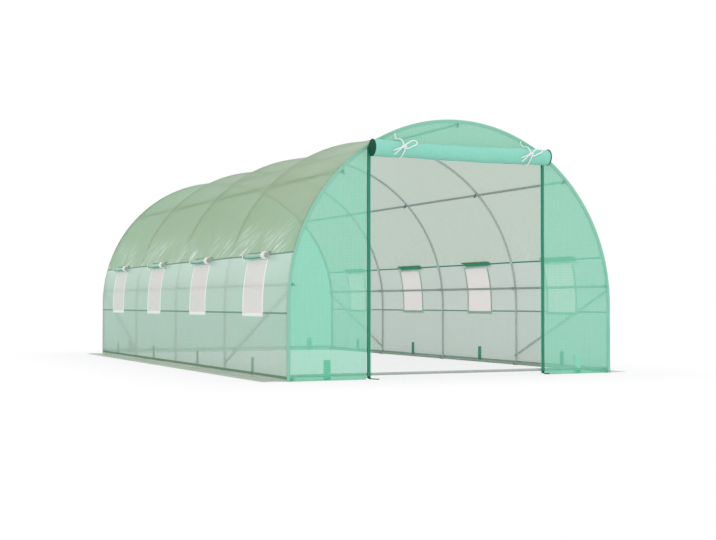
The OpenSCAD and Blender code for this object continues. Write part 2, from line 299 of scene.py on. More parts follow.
def stations(breaks: Sequence[float], step: float) -> Points:
    """Evenly divides each stretch between break values.

    Args:
        breaks: Values that must be among the stations.
        step: The widest spacing allowed.

    Returns:
        Sorted station values.
    """
    marks = sorted(set(round(b, 6) for b in breaks))
    runs = [np.linspace(a, b, max(1, math.ceil((b - a) / step)), endpoint=False)
            for a, b in zip(marks, marks[1:])]
    return np.concatenate(runs + [np.array(marks[-1:])])


def smooth_route(points: Sequence[Sequence[float]], steps: int) -> Points:
    """Runs a smooth curve through given points.

    Args:
        points: The route's points.
        steps: Pieces into which each stretch is divided.

    Returns:
        Points along the curve, the first and last ones unchanged.
    """
    p = np.array(points, dtype=float)
    p = np.vstack([2 * p[0] - p[1], p, 2 * p[-1] - p[-2]])
    out = []
    for i in range(1, len(p) - 2):
        t = np.linspace(0, 1, steps, endpoint=False)[:, None]
        a, b, c, d = p[i - 1:i + 3]
        square, cube = 2 * a - 5 * b + 4 * c - d, 3 * b - a - 3 * c + d
        out.append(0.5 * (2 * b + (c - a) * t + square * t**2 + cube * t**3))
    return np.vstack(out + [p[-2:-1]])


def tube(path: Points, radius: float | Points, sides: int) -> tuple[Points, Points]:
    """Sweeps a ring along a path without twist.

    Args:
        path: Points of the centreline.
        radius: One radius, or one for each point.
        sides: Points in a ring.

    Returns:
        The grid of ring points, and its UVs in metres along and around.
    """
    along = np.gradient(path, axis=0)
    along /= np.linalg.norm(along, axis=1)[:, None]
    radii = np.broadcast_to(radius, len(path))
    angles = np.linspace(0, 2 * math.pi, sides, endpoint=False)
    # The first ring's turn comes from a direction that no path starts along
    across = np.cross(along[0], (0.31, 0.17, 0.93))
    rings = []
    for point, t, r in zip(path, along, radii):
        across = across - np.dot(across, t) * t
        across /= np.linalg.norm(across)
        other = np.cross(t, across)
        rings.append(point + r * (np.cos(angles)[:, None] * across + np.sin(angles)[:, None] * other))
    return np.array(rings), joined(run_length(path)[:, None], angles * radii.mean())


class Ripple:
    """Smooth noise over two coordinates, the same on each run."""

    SIZE = 64

    def __init__(self, seed: int) -> None:
        """Draws the lattice of values.

        Args:
            seed: Seed of the random draws.
        """
        self.values = np.random.default_rng(seed).uniform(-1, 1, (self.SIZE, self.SIZE))

    def at(self, u: Points, v: Points, cell: float | tuple[float, float]) -> Points:
        """Noise from -1 to 1.

        Args:
            u: First coordinates.
            v: Second coordinates.
            cell: Size of a lattice cell, or its sizes along u and v.

        Returns:
            One value for each pair of coordinates.
        """
        cell_u, cell_v = (cell, cell) if isinstance(cell, float) else cell
        x, y = np.broadcast_arrays(np.asarray(u) / cell_u, np.asarray(v) / cell_v)
        i, j = np.floor(x).astype(int), np.floor(y).astype(int)
        s, t = x - i, y - j
        s, t = s * s * (3 - 2 * s), t * t * (3 - 2 * t)
        n = self.SIZE
        low = self.values[i % n, j % n] * (1 - s) + self.values[(i + 1) % n, j % n] * s
        high = self.values[i % n, (j + 1) % n] * (1 - s) + self.values[(i + 1) % n, (j + 1) % n] * s
        return low * (1 - t) + high * t


# Finishes


def cloth_axes(tree: NodeTree) -> tuple[NodeSocket, Sequence[NodeSocket]]:
    """Adds the piece's own UV map in metres.

    Args:
        tree: The tree that gets it.

    Returns:
        The map's output, and the outputs of its axes along and across the piece.
    """
    uv = add_node(tree, "ShaderNodeUVMap", uv_map=UV_NAME).outputs[0]
    return uv, add_node(tree, "ShaderNodeSeparateXYZ", {0: uv}).outputs


def stripes(tree: NodeTree, across: NodeSocket, pitch: float, span: tuple[float, float],
            to: tuple[float, float] = (0.0, 1.0)) -> NodeSocket:
    """Adds soft stripes of one pitch.

    Args:
        tree: The tree that gets them.
        across: Distance across the stripes.
        pitch: Distance from one stripe to the next.
        span: Distances from a stripe's middle between which its value changes.
        to: Values at both ends of that span.

    Returns:
        The stripes' value.
    """
    wave = add_node(tree, "ShaderNodeMath", {0: across, 1: pitch / 2}, operation="PINGPONG")
    return add_node(tree, "ShaderNodeMapRange", {
        "Value": wave, "From Min": span[0], "From Max": span[1], "To Min": to[0], "To Max": to[1]},
        interpolation_type="SMOOTHSTEP").outputs[0]


@dataclass(frozen=True)
class WovenSheet:
    """Woven and laminated polyethylene film: flat tapes with a reinforcing grid between two clear coats.

    It shows faintly what is behind it, and the light that it lets through is greyer than the light that it
    reflects. The coats are glossy and crinkle a little; above a seam they can be creased on the slant, with
    painted highlights along the creases and a faint painted sheen between them.
    """

    name: str
    body: str
    through: str
    clear: float
    glow: float = 0.45
    gloss: float = 0.32
    rough: float = 0.3
    thread: str = "#DCEBE2"
    thread_pitch: float = 14 * MM
    thread_width: float = 3 * MM
    thread_clear: float = 0.5
    thread_tone: float = 0.05
    thread_relief: float = 0.06
    gap_tint: Colour = (0.97, 1.0, 0.98, 1.0)
    crinkle: float = 0.3
    crinkle_size: float = 76.923 * MM
    crinkle_depth: float = 9 * MM
    # Faint tone along the tapes of the weave, by its sizes along and across the piece
    tone_size: tuple[float, float] = (29.412 * MM, 250 * MM)
    tone: float = 0.14
    # Creases: distance of their seam from the ridge, how far above it they reach and are strongest, their
    # slant in degrees, length and width, the size of a group, the colour and share of their painted
    # highlight, their relief, the faint painted sheen between them, and how strong they are on the slacker
    # side
    crease_seam: float = 0.0
    crease_reach: float = 0.4
    crease_full: float = 0.1
    crease_lean: float = 31.0
    crease_size: tuple[float, float] = (312.5 * MM, 25 * MM)
    crease_group: float = 384.615 * MM
    crease_highlight_colour: str = "#F1F7F2"
    crease_highlight_share: float = 0.95
    crease_relief: float = 0.7
    crease_sheen: float = 0.08
    slack_side: float = 0.12

    def _creases(self, tree: NodeTree, axes: Sequence[NodeSocket]) -> NodeSocket:
        """Adds sparse slanting streaks above the seam, for the creases' relief and their painted highlights.

        Args:
            tree: The tree that gets them.
            axes: Outputs of the distances along and across the sheet.

        Returns:
            A value that is 1 on a crease, the faint painted sheen's share between creases, and 0 away from
            them.
        """
        down = add_node(tree, "ShaderNodeMath", {0: axes[1]}, operation="ABSOLUTE").outputs[0]
        flat = add_node(tree, "ShaderNodeCombineXYZ", {0: axes[0], 1: down}).outputs[0]
        turned = add_node(tree, "ShaderNodeMapping", {
            "Vector": flat, "Rotation": (0.0, 0.0, -math.radians(self.crease_lean))})
        length, width = self.crease_size
        drawn = add_node(tree, "ShaderNodeMapping", {
            "Vector": turned, "Scale": (1 / length, 1 / width, 1.0)})
        lines = add_node(tree, "ShaderNodeTexNoise", {
            "Vector": drawn, "Scale": 1.0, "Detail": 2.0, "Roughness": 0.45})
        group = add_node(tree, "ShaderNodeTexNoise", {
            "Vector": flat, "Scale": 1 / self.crease_group, "Detail": 1.0})
        left = add_node(tree, "ShaderNodeMath", {0: axes[1], 1: 0.0}, operation="LESS_THAN")
        far, near = self.crease_seam - self.crease_reach, self.crease_seam - self.crease_full
        streak = None
        # The lines start from crease_sheen, not 0: a faint painted sheen between the creases
        for value, low, high, least in ((lines.outputs["Fac"], 0.5, 0.62, self.crease_sheen),
                                        (group.outputs["Fac"], 0.4, 0.6, 0.0),
                                        (left, 0.0, 1.0, self.slack_side),
                                        (down, far, near, 0.0)):
            share = add_node(tree, "ShaderNodeMapRange", {
                "Value": value, "From Min": low, "From Max": high, "To Min": least},
                interpolation_type="SMOOTHSTEP").outputs[0]
            streak = share if streak is None else add_node(
                tree, "ShaderNodeMath", {0: streak, 1: share}, operation="MULTIPLY").outputs[0]
        return streak

    def build(self) -> Material:
        """Makes the material; the grid is drawn coarser than life so that it shows.

        Returns:
            The material.
        """
        material, tree = new_material(self.name)
        uv, axes = cloth_axes(tree)
        threads = [stripes(tree, axis, self.thread_pitch, (0.0, self.thread_width), (1.0, 0.0))
                   for axis in axes[:2]]
        grid = add_node(tree, "ShaderNodeMath", dict(enumerate(threads)), operation="MAXIMUM").outputs[0]
        place = add_node(tree, "ShaderNodeTexCoord").outputs["Object"]
        crumple = add_node(tree, "ShaderNodeTexNoise", {
            "Vector": place, "Scale": 1 / self.crinkle_size, "Detail": 4.0, "Roughness": 0.62,
            "Distortion": 0.8})
        height = add_node(tree, "ShaderNodeMath", {
            0: grid, 1: self.thread_relief, 2: crumple.outputs["Fac"]}, operation="MULTIPLY_ADD").outputs[0]
        along, across = self.tone_size
        fall = add_node(tree, "ShaderNodeMapping", {"Vector": uv, "Scale": (1 / along, 1 / across, 1.0)})
        patch = add_node(tree, "ShaderNodeTexNoise", {
            "Vector": fall, "Scale": 1.0, "Detail": 4.0, "Roughness": 0.6})
        tone = add_node(tree, "ShaderNodeMapRange", {
            "Value": patch.outputs["Fac"], "From Min": 0.3, "From Max": 0.75, "To Max": self.tone})
        share = add_node(tree, "ShaderNodeMath", {0: grid, 1: self.thread_tone, 2: tone},
                         operation="MULTIPLY_ADD")
        gap = add_node(tree, "ShaderNodeMapRange", {
            "Value": grid, "To Min": self.clear, "To Max": self.clear * self.thread_clear}).outputs[0]
        colours = [add_node(tree, "ShaderNodeMix", {
            "Factor": share, 6: linear(c), 7: linear(self.thread)}, data_type="RGBA").outputs[2]
            for c in (self.body, self.through)]
        if self.crease_seam:
            streak = self._creases(tree, axes)
            height = add_node(tree, "ShaderNodeMath", {0: streak, 1: self.crease_relief, 2: height},
                              operation="MULTIPLY_ADD").outputs[0]
            # Painted highlight: the creases, and the faint sheen between them, mix the base colour towards a
            # near-white highlight colour
            white = add_node(tree, "ShaderNodeMath", {0: streak, 1: self.crease_highlight_share},
                             operation="MULTIPLY")
            colours[0] = add_node(tree, "ShaderNodeMix", {
                "Factor": white, 6: colours[0], 7: linear(self.crease_highlight_colour)},
                data_type="RGBA").outputs[2]
        bump = add_node(tree, "ShaderNodeBump", {
            "Strength": self.crinkle, "Distance": self.crinkle_depth, "Height": height})
        film = add_node(tree, "ShaderNodeBsdfPrincipled", {
            "Base Color": colours[0], "Roughness": self.rough, "IOR": 1.5, "Specular IOR Level": self.gloss,
            "Normal": bump})
        lit = add_node(tree, "ShaderNodeBsdfTranslucent", {"Color": colours[1], "Normal": bump})
        body = add_node(tree, "ShaderNodeMixShader", {0: self.glow, 1: film, 2: lit})
        hole = add_node(tree, "ShaderNodeBsdfTransparent", {"Color": self.gap_tint})
        sheet = add_node(tree, "ShaderNodeMixShader", {0: gap, 1: body, 2: hole})
        add_node(tree, "ShaderNodeOutputMaterial", {"Surface": sheet})
        return material


@dataclass(frozen=True)
class WovenTape:
    """Woven polyester or polyethylene tape: close ribs across its length, matt, with rubbed edges."""

    name: str
    body: str
    rib: str
    pitch: float = 4 * MM
    rib_depth: float = 1 * MM
    rub_size: float = 41.667 * MM
    rough: float = 0.72
    glow: float = 0.0

    def build(self) -> Material:
        """Makes the material; the ribs are drawn coarser than life so that they show.

        Returns:
            The material.
        """
        material, tree = new_material(self.name)
        _, axes = cloth_axes(tree)
        rib = stripes(tree, axes[0], self.pitch, (0.0, self.pitch / 2))
        place = add_node(tree, "ShaderNodeTexCoord").outputs["Object"]
        rub = add_node(tree, "ShaderNodeTexNoise", {
            "Vector": place, "Scale": 1 / self.rub_size, "Detail": 4.0, "Roughness": 0.65})
        share = add_node(tree, "ShaderNodeMath", {0: rib, 1: rub.outputs["Fac"]}, operation="MULTIPLY")
        colour = add_node(tree, "ShaderNodeMix", {
            "Factor": share, 6: linear(self.body), 7: linear(self.rib)},
            data_type="RGBA").outputs[2]
        bump = add_node(tree, "ShaderNodeBump", {"Strength": 0.5, "Distance": self.rib_depth, "Height": rib})
        surface = add_node(tree, "ShaderNodeBsdfPrincipled", {
            "Base Color": colour, "Roughness": self.rough, "Specular IOR Level": 0.25,
            "Normal": bump}).outputs[0]
        if self.glow:
            lit = add_node(tree, "ShaderNodeBsdfTranslucent", {"Color": colour})
            surface = add_node(tree, "ShaderNodeMixShader", {
                0: self.glow, 1: surface, 2: lit}).outputs[0]
        add_node(tree, "ShaderNodeOutputMaterial", {"Surface": surface})
        return material


@dataclass(frozen=True)
class InsectNetting:
    """Knitted white polyethylene netting: fine square holes that show a little of what is behind."""

    name: str = "white_polyethylene_netting"
    thread: str = "#FBEFF1"
    pitch: float = 8 * MM
    # Distances from a thread's middle at which its edge starts and ends, as shares of the pitch
    edge: tuple[float, float] = (0.15, 0.3)
    hole: float = 0.36
    glow: float = 0.45

    def build(self) -> Material:
        """Makes the material; the holes are drawn coarser than life so that they show.

        Returns:
            The material.
        """
        material, tree = new_material(self.name)
        _, axes = cloth_axes(tree)
        span = self.edge[0] * self.pitch, self.edge[1] * self.pitch
        holes = [stripes(tree, axis, self.pitch, span, (0.0, self.hole)) for axis in axes[:2]]
        gap = add_node(tree, "ShaderNodeMath", dict(enumerate(holes)), operation="MINIMUM")
        thread = add_node(tree, "ShaderNodeBsdfPrincipled", {
            "Base Color": linear(self.thread), "Roughness": 0.6})
        lit = add_node(tree, "ShaderNodeBsdfTranslucent", {"Color": linear(self.thread)})
        body = add_node(tree, "ShaderNodeMixShader", {0: self.glow, 1: thread, 2: lit})
        clear = add_node(tree, "ShaderNodeBsdfTransparent")
        net = add_node(tree, "ShaderNodeMixShader", {
            0: gap, 1: body, 2: clear})
        add_node(tree, "ShaderNodeOutputMaterial", {"Surface": net})
        return material


@dataclass(frozen=True)
class GalvanisedSteel:
    """Zinc-coated steel tube: dull grey with crystal spangle and faint stains."""

    name: str = "galvanised_steel_tube"
    pale: str = "#E2E6E4"
    dark: str = "#C2C9C6"
    spangle: float = 9 * MM
    stain_size: float = 142.857 * MM
    rough: tuple[float, float] = (0.36, 0.56)

    def build(self) -> Material:
        """Makes the material.

        Returns:
            The material.
        """
        material, tree = new_material(self.name)
        place = add_node(tree, "ShaderNodeTexCoord").outputs["Object"]
        crystal = add_node(tree, "ShaderNodeTexVoronoi", {
            "Vector": place, "Scale": 1 / self.spangle, "Randomness": 1.0})
        facet = add_node(tree, "ShaderNodeSeparateColor", {0: crystal.outputs["Color"]})
        stain = add_node(tree, "ShaderNodeTexNoise", {
            "Vector": place, "Scale": 1 / self.stain_size, "Detail": 4.0})
        blend = add_node(tree, "ShaderNodeMath", {0: facet, 1: stain.outputs["Fac"]},
                         operation="MULTIPLY")
        colour = add_node(tree, "ShaderNodeMix", {
            "Factor": blend, 6: linear(self.dark), 7: linear(self.pale)}, data_type="RGBA")
        rough = add_node(tree, "ShaderNodeMapRange", {
            "Value": facet.outputs[1], "To Min": self.rough[0], "To Max": self.rough[1]})
        zinc = add_node(tree, "ShaderNodeBsdfPrincipled", {
            "Base Color": colour.outputs[2], "Metallic": 0.25, "Roughness": rough})
        add_node(tree, "ShaderNodeOutputMaterial", {"Surface": zinc})
        return material


@dataclass(frozen=True)
class MouldedPlastic:
    """Moulded polypropylene: grey, satin, with the fine grain of a spark-eroded mould."""

    name: str = "moulded_polypropylene"
    body: str = "#7C8684"
    fleck: str = "#8C9694"
    grain: float = 1.5 * MM
    grain_depth: float = 0.3 * MM

    def build(self) -> Material:
        """Makes the material.

        Returns:
            The material.
        """
        material, tree = new_material(self.name)
        place = add_node(tree, "ShaderNodeTexCoord").outputs["Object"]
        grain = add_node(tree, "ShaderNodeTexNoise", {
            "Vector": place, "Scale": 1 / self.grain, "Detail": 2.0}).outputs["Fac"]
        tone = add_node(tree, "ShaderNodeMix", {
            "Factor": grain, 6: linear(self.body), 7: linear(self.fleck)}, data_type="RGBA")
        bump = add_node(tree, "ShaderNodeBump", {
            "Strength": 0.25, "Distance": self.grain_depth, "Height": grain})
        plastic = add_node(tree, "ShaderNodeBsdfPrincipled", {
            "Base Color": tone.outputs[2], "Roughness": 0.45, "Normal": bump})
        add_node(tree, "ShaderNodeOutputMaterial", {"Surface": plastic})
        return material


@dataclass(frozen=True)
class BraidedCord:
    """Braided polypropylene cord: white strands that cross on the slant, slightly shiny."""

    name: str = "braided_polypropylene_cord"
    strand: str = "#FDFEFD"
    groove: str = "#F0F4F2"
    pitch: float = 6 * MM
    groove_depth: float = 1 * MM

    def build(self) -> Material:
        """Makes the material; the braid is drawn coarser than life so that it shows.

        Returns:
            The material.
        """
        material, tree = new_material(self.name)
        _, axes = cloth_axes(tree)
        slants = [add_node(tree, "ShaderNodeMath", {0: axes[0], 1: axes[1]}, operation=kind).outputs[0]
                  for kind in ("ADD", "SUBTRACT")]
        strands = [stripes(tree, slant, self.pitch, (0.0, self.pitch / 2)) for slant in slants]
        weave = add_node(tree, "ShaderNodeMath", dict(enumerate(strands)), operation="MAXIMUM").outputs[0]
        colour = add_node(tree, "ShaderNodeMix", {
            "Factor": weave, 6: linear(self.groove), 7: linear(self.strand)}, data_type="RGBA")
        bump = add_node(tree, "ShaderNodeBump", {
            "Strength": 0.6, "Distance": self.groove_depth, "Height": weave})
        cord = add_node(tree, "ShaderNodeBsdfPrincipled", {
            "Base Color": colour.outputs[2], "Roughness": 0.5, "Normal": bump})
        add_node(tree, "ShaderNodeOutputMaterial", {"Surface": cord})
        return material


class Finishes:
    """Every material of the object, made once."""

    def __init__(self, crease_seam: float) -> None:
        """Builds the materials.

        Args:
            crease_seam: Distance from the ridge of the seam above which the roof is creased.
        """
        # The cover's sheet: the strip with the windows, the walls, the roof and the ground flaps, as copies
        # of one
        # sheet: the window strip a little paler than the walls, the roof darker as painted shade, the flaps
        # paler as painted light
        self.band = WovenSheet("pale_sage_woven_polyethylene", "#B3D9C0", "#E3D6E4", clear=0.24,
                               glow=0.35).build()
        self.wall = WovenSheet("sage_woven_polyethylene", "#A2CDB3", "#E0D4E1", clear=0.24, glow=0.35).build()
        # Painted shade: the roof is the same sheet painted a darker olive, for the dimmer light it gets from
        # above
        self.roof = WovenSheet("olive_woven_polyethylene", "#6C9013", "#EAF4FB", clear=0.17, gloss=0.08,
                               thread="#E0EBB4", crease_seam=crease_seam).build()
        # Painted light: the ground flaps are the same sheet painted paler, for the dim light near the ground
        self.skirt = WovenSheet("dusty_olive_woven_polyethylene", "#D3DACD", "#DCE4D8", clear=0.1).build()
        # The sheet of the ends, its hems, the rolled door and the rolled window flaps
        self.end = WovenSheet("mint_woven_polyethylene", "#90ECCD", "#7CE2CA", clear=0.38, glow=0.4,
                              thread_clear=0.62).build()
        self.hem = WovenSheet("hemmed_mint_woven_polyethylene", "#7FE3BE", "#70D8B8", clear=0.66,
                              glow=0.4).build()
        self.curtain = WovenSheet("rolled_mint_woven_polyethylene", "#8EE2CD", "#88DCC8", clear=0.04,
                                  glow=0.1, crinkle=0.75).build()
        self.flap = WovenSheet("rolled_sage_woven_polyethylene", "#A3DCC3", "#96D0B8", clear=0.1,
                               glow=0.25).build()
        # Bindings, seam and zip tapes, straps, borders and thread
        self.binding = WovenTape("mint_edge_binding", "#8BC9B1", "#98D2BD").build()
        # The seam tape also draws the painted shadow line above each window roll
        self.seam = WovenTape("olive_seam_tape", "#6A937D", "#82AB96").build()
        self.foot_seam = WovenTape("dark_olive_seam_tape", "#8CB394", "#9AC0A2", glow=0.45).build()
        # Also the dark tapes inside at each roll: painted shade of the rolls seen through the sheet
        self.inner_seam_and_shade = WovenTape("green_seam_and_roll_shade_tape", "#429E7E", "#56B292").build()
        self.zip = WovenTape("dark_green_zip_tape", "#1F9476", "#33AA8E").build()
        # Also the door roll's end discs: the wound zip edges, and painted shade between the turns
        self.zip_edge_and_roll_end_shade = WovenTape("dark_green_zip_edge", "#0B4A35", "#145C45").build()
        self.strap = WovenTape("green_webbing", "#4CA987", "#63BD9B").build()
        # Painted light: the same green webbing painted lighter, for the end straps seen through the panels
        self.strap_painted_lighter = WovenTape("green_webbing_painted_lighter", "#8ADCBE", "#9AE6CC").build()
        self.white = WovenTape("white_polyester_tape", "#EFEDEB", "#FAF9F8").build()
        self.border = WovenTape("white_polyester_border", "#FBFBFA", "#FFFFFF", glow=0.12).build()
        self.roll_end = WovenTape("wound_sheet_edges", "#D6CDC8", "#E4DDD9", pitch=3 * MM).build()
        self.thread = WovenTape("polyester_thread", "#86AD98", "#9CC2AD").build()
        # Zip teeth, netting, tubes, clips and cords
        self.coil = MouldedPlastic("nylon_zip_coil", "#2C8467", "#49A688").build()
        self.netting = InsectNetting().build()
        self.steel = GalvanisedSteel().build()
        self.rail_steel = GalvanisedSteel("galvanised_steel_rail", "#C3C9C6", "#AAB1AE").build()
        # Painted shade: the same tube painted dark, for the left ground rail in the cover's shadow
        self.shade_painted_steel = GalvanisedSteel("galvanised_steel_painted_shade", "#566461", "#43514D").build()
        self.plastic = MouldedPlastic().build()
        self.pale_plastic = MouldedPlastic("grey_moulded_polypropylene", "#A3ABA9", "#B4BCBA").build()
        self.cord = BraidedCord().build()


# The tunnel's sizes and the form of its cover


def middle(node: str) -> Points:
    """Middle of a CAD node's box."""
    low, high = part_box(node)
    return (np.array(low) + np.array(high)) / 2


@dataclass(frozen=True)
class Tunnel:
    """Main sizes of the tunnel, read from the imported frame."""

    radius: float
    leg: float
    front: float
    rear: float
    flap: float
    hoops: tuple[float, ...]
    hoop_radius: float
    tube: float
    seam_low: float
    seam_high: float
    window_low: float
    window_high: float
    window_width: float
    window_shift: float
    zip_half: float
    door_top: float

    @classmethod
    def from_frame(cls) -> "Tunnel":
        """Reads the sizes from the boxes of the CAD nodes.

        Returns:
            The tunnel.
        """
        rear_high, zip_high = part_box("rear_panel")[1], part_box("door_zips")[1]
        band_low, band_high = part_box("right_window_band")
        net_low, net_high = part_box("right_window_mesh")
        hoops = tuple(float(middle(f"hoop_{i}")[1]) for i in range(1, 6))
        leg_low, leg_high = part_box("right_legs")
        return cls(
            radius=rear_high.x, leg=rear_high.z - rear_high.x, front=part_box("front_left_panel")[0].y,
            rear=rear_high.y, flap=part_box("right_ground_flap")[1].x - rear_high.x, hoops=hoops,
            hoop_radius=(leg_low.x + leg_high.x) / 2, tube=leg_high.x - leg_low.x, seam_low=band_low.z,
            seam_high=band_high.z, window_low=net_low.z, window_high=net_high.z,
            window_width=net_high.y - net_low.y - hoops[3] + hoops[0],
            window_shift=(hoops[0] + hoops[4] - net_low.y - net_high.y) / 2, zip_half=zip_high.x,
            door_top=zip_high.z)

    def window_middles(self, side: Side) -> tuple[float, ...]:
        """Y of the middle of each window on one side, a little to the left of its bay's seen from outside."""
        return tuple((a + b) / 2 - side.value * self.window_shift for a, b in zip(self.hoops, self.hoops[1:]))


class CoverForm:
    """The stretched cover as a surface: distance from the ridge and place along the tunnel to a point.

    The distance is positive on the right-hand side and negative on the left. The sheet sags between the
    hoops, lies on the purlins, and is creased on the slant above the windows.
    """

    # Radius of the fold at the foot, height of the ground flap, and how far it reaches past its solid
    FOLD = 7 * MM
    GROUND = 2.5 * MM
    PROUD = 40 * MM
    # Sag halfway between two hoops, at these degrees from the ridge and at the seams and the foot
    SAG_DEGREES = (0, 22, 45, 60)
    SAG = (21 * MM, 34 * MM, 21 * MM, 24 * MM, 9 * MM, 5 * MM, 0.0)
    # Share by which the sag varies, depth of the ripples, lift of the flap, and the sizes of each
    VARY, VARY_CELL = 0.12, 0.9
    RIPPLE, RIPPLE_CELL = 2.2 * MM, (0.22, 0.3)
    FLAP_LIFT, FLAP_CELL = 4 * MM, (0.35, 0.12)
    # Creases on a side, how softly they end at a hoop, and the share that slants the usual way
    CREASES = 64
    CREASE_END = 0.4
    USUAL = 0.93
    # Their least and most: slant in degrees, distance above the seam, half length, half width and height
    SLANT = (22, 42)
    ABOVE = (0.03, 0.3)
    HALF = (0.1, 0.26)
    WIDTH = (9 * MM, 15 * MM)
    HEIGHT = (1.5 * MM, 3.5 * MM)
    END_GAP = 0.05
    SEED, DRIFT_SEED = 11, 3

    def __init__(self, tunnel: Tunnel) -> None:
        """Works out the profile and draws the creases.

        Args:
            tunnel: The tunnel's sizes.
        """
        self.tunnel = tunnel
        self.r = tunnel.radius - SHEET_INSET
        self.arc_end = self.r * math.pi / 2
        self.wall_end = self.arc_end + tunnel.leg - self.FOLD - self.GROUND
        self.fold_end = self.wall_end + self.FOLD * math.pi / 2
        self.reach = self.fold_end + tunnel.flap - self.FOLD + self.PROUD
        seam = self.down_to(tunnel.seam_high)
        upper = self.r * np.radians(self.SAG_DEGREES)
        self.sag_at = np.concatenate([upper, [seam, self.down_to(tunnel.seam_low), self.wall_end]])
        self.drift = Ripple(self.DRIFT_SEED)
        self.creases = self._draw_creases(seam)

    def down_to(self, z: float) -> float:
        """Distance from the ridge down to a height.

        Args:
            z: The height.

        Returns:
            The distance along the outline.
        """
        rise = z - self.tunnel.leg
        if rise > 0:
            return self.r * math.acos(min(1, rise / self.r))
        return self.arc_end - rise

    def _draw_creases(self, seam: float) -> Points:
        """Draws the slanting creases above the windows.

        Args:
            seam: Distance of the window seam from the ridge.

        Returns:
            One row a crease: distance, place along, slant, half length, half width and height.
        """
        rng = np.random.default_rng(self.SEED)
        rows = []
        for side in Side:
            for _ in range(self.CREASES):
                slant = math.radians(rng.uniform(*self.SLANT)) * (1 if rng.random() < self.USUAL else -1)
                rows.append((
                    side.value * (seam - rng.uniform(*self.ABOVE)),
                    rng.uniform(self.tunnel.front + self.END_GAP, self.tunnel.rear - self.END_GAP),
                    slant * side.value, rng.uniform(*self.HALF), rng.uniform(*self.WIDTH),
                    rng.uniform(*self.HEIGHT)))
        return np.array(rows)

    def profile(self, a: Points) -> tuple[Points, Points, Points, Points]:
        """The cover's section on the right-hand side, before it sags.

        Args:
            a: Distances from the ridge.

        Returns:
            X and Z of each point, and X and Z of its outward normal.
        """
        r, leg, fold = self.r, self.tunnel.leg, self.FOLD
        theta = np.clip(a / r, 0, math.pi / 2)
        bend = np.clip((a - self.wall_end) / fold, 0, math.pi / 2)
        down = np.clip(a - self.arc_end, 0, self.wall_end - self.arc_end)
        out = np.maximum(0, a - self.fold_end)
        x = r * np.sin(theta) + fold * (1 - np.cos(bend)) + out
        z = leg + r * np.cos(theta) - down - fold * np.sin(bend)
        nx = np.where(bend > 0, np.cos(bend), np.sin(theta))
        nz = np.where(bend > 0, np.sin(bend), np.cos(theta))
        return x, z, nx, nz

    def depth(self, q: Points, y: Points) -> Points:
        """How far the sheet lies below its outline.

        Args:
            q: Signed distances from the ridge.
            y: Places along the tunnel.

        Returns:
            Depths along the inward normal.
        """
        a = np.abs(q)
        hoops = np.array(self.tunnel.hoops)
        bay = np.clip(np.searchsorted(hoops, y) - 1, 0, len(hoops) - 2)
        t = np.clip((y - hoops[bay]) / (hoops[1] - hoops[0]), 0, 1)
        hang = 4 * t * (1 - t)
        vary = 1 + self.VARY * self.drift.at(q, y, self.VARY_CELL)
        depth = np.interp(a, self.sag_at, self.SAG) * hang * vary
        depth = depth + self.RIPPLE * self.drift.at(q + 5, y, self.RIPPLE_CELL) * np.sqrt(hang)
        for mid_q, mid_y, slant, length, width, height in self.creases:
            near = (np.abs(q - mid_q) < self.HALF[1]) & (np.abs(y - mid_y) < self.HALF[1])
            u, v = q[near] - mid_q, y[near] - mid_y
            along = u * math.sin(slant) + v * math.cos(slant)
            off = u * math.cos(slant) - v * math.sin(slant)
            fade = np.clip(1 - (along / length) ** 2, 0, 1)
            depth[near] -= height * fade * np.exp(-((off / width) ** 2)) * hang[near] ** self.CREASE_END
        flap = np.sin(math.pi * np.clip((a - self.fold_end) / (self.reach - self.fold_end), 0, 1))
        lift = flap * self.FLAP_LIFT * (1 + self.drift.at(y, q, self.FLAP_CELL))
        return np.where(a > self.wall_end, -lift, depth)

    def at(self, q: Points, y: Points, lift: float | Points = 0.0) -> Points:
        """Points of the sheet.

        Args:
            q: Signed distances from the ridge.
            y: Places along the tunnel.
            lift: How far outside the sheet the points lie.

        Returns:
            Points with the shape of q and y, and three coordinates each.
        """
        q, y = (np.array(v, dtype=float) for v in np.broadcast_arrays(q, y))
        x, z, nx, nz = self.profile(np.abs(q))
        out = lift - self.depth(q, y)
        side = np.where(q < 0, -1.0, 1.0)
        return joined(side * (x + nx * out), y, z + nz * out)


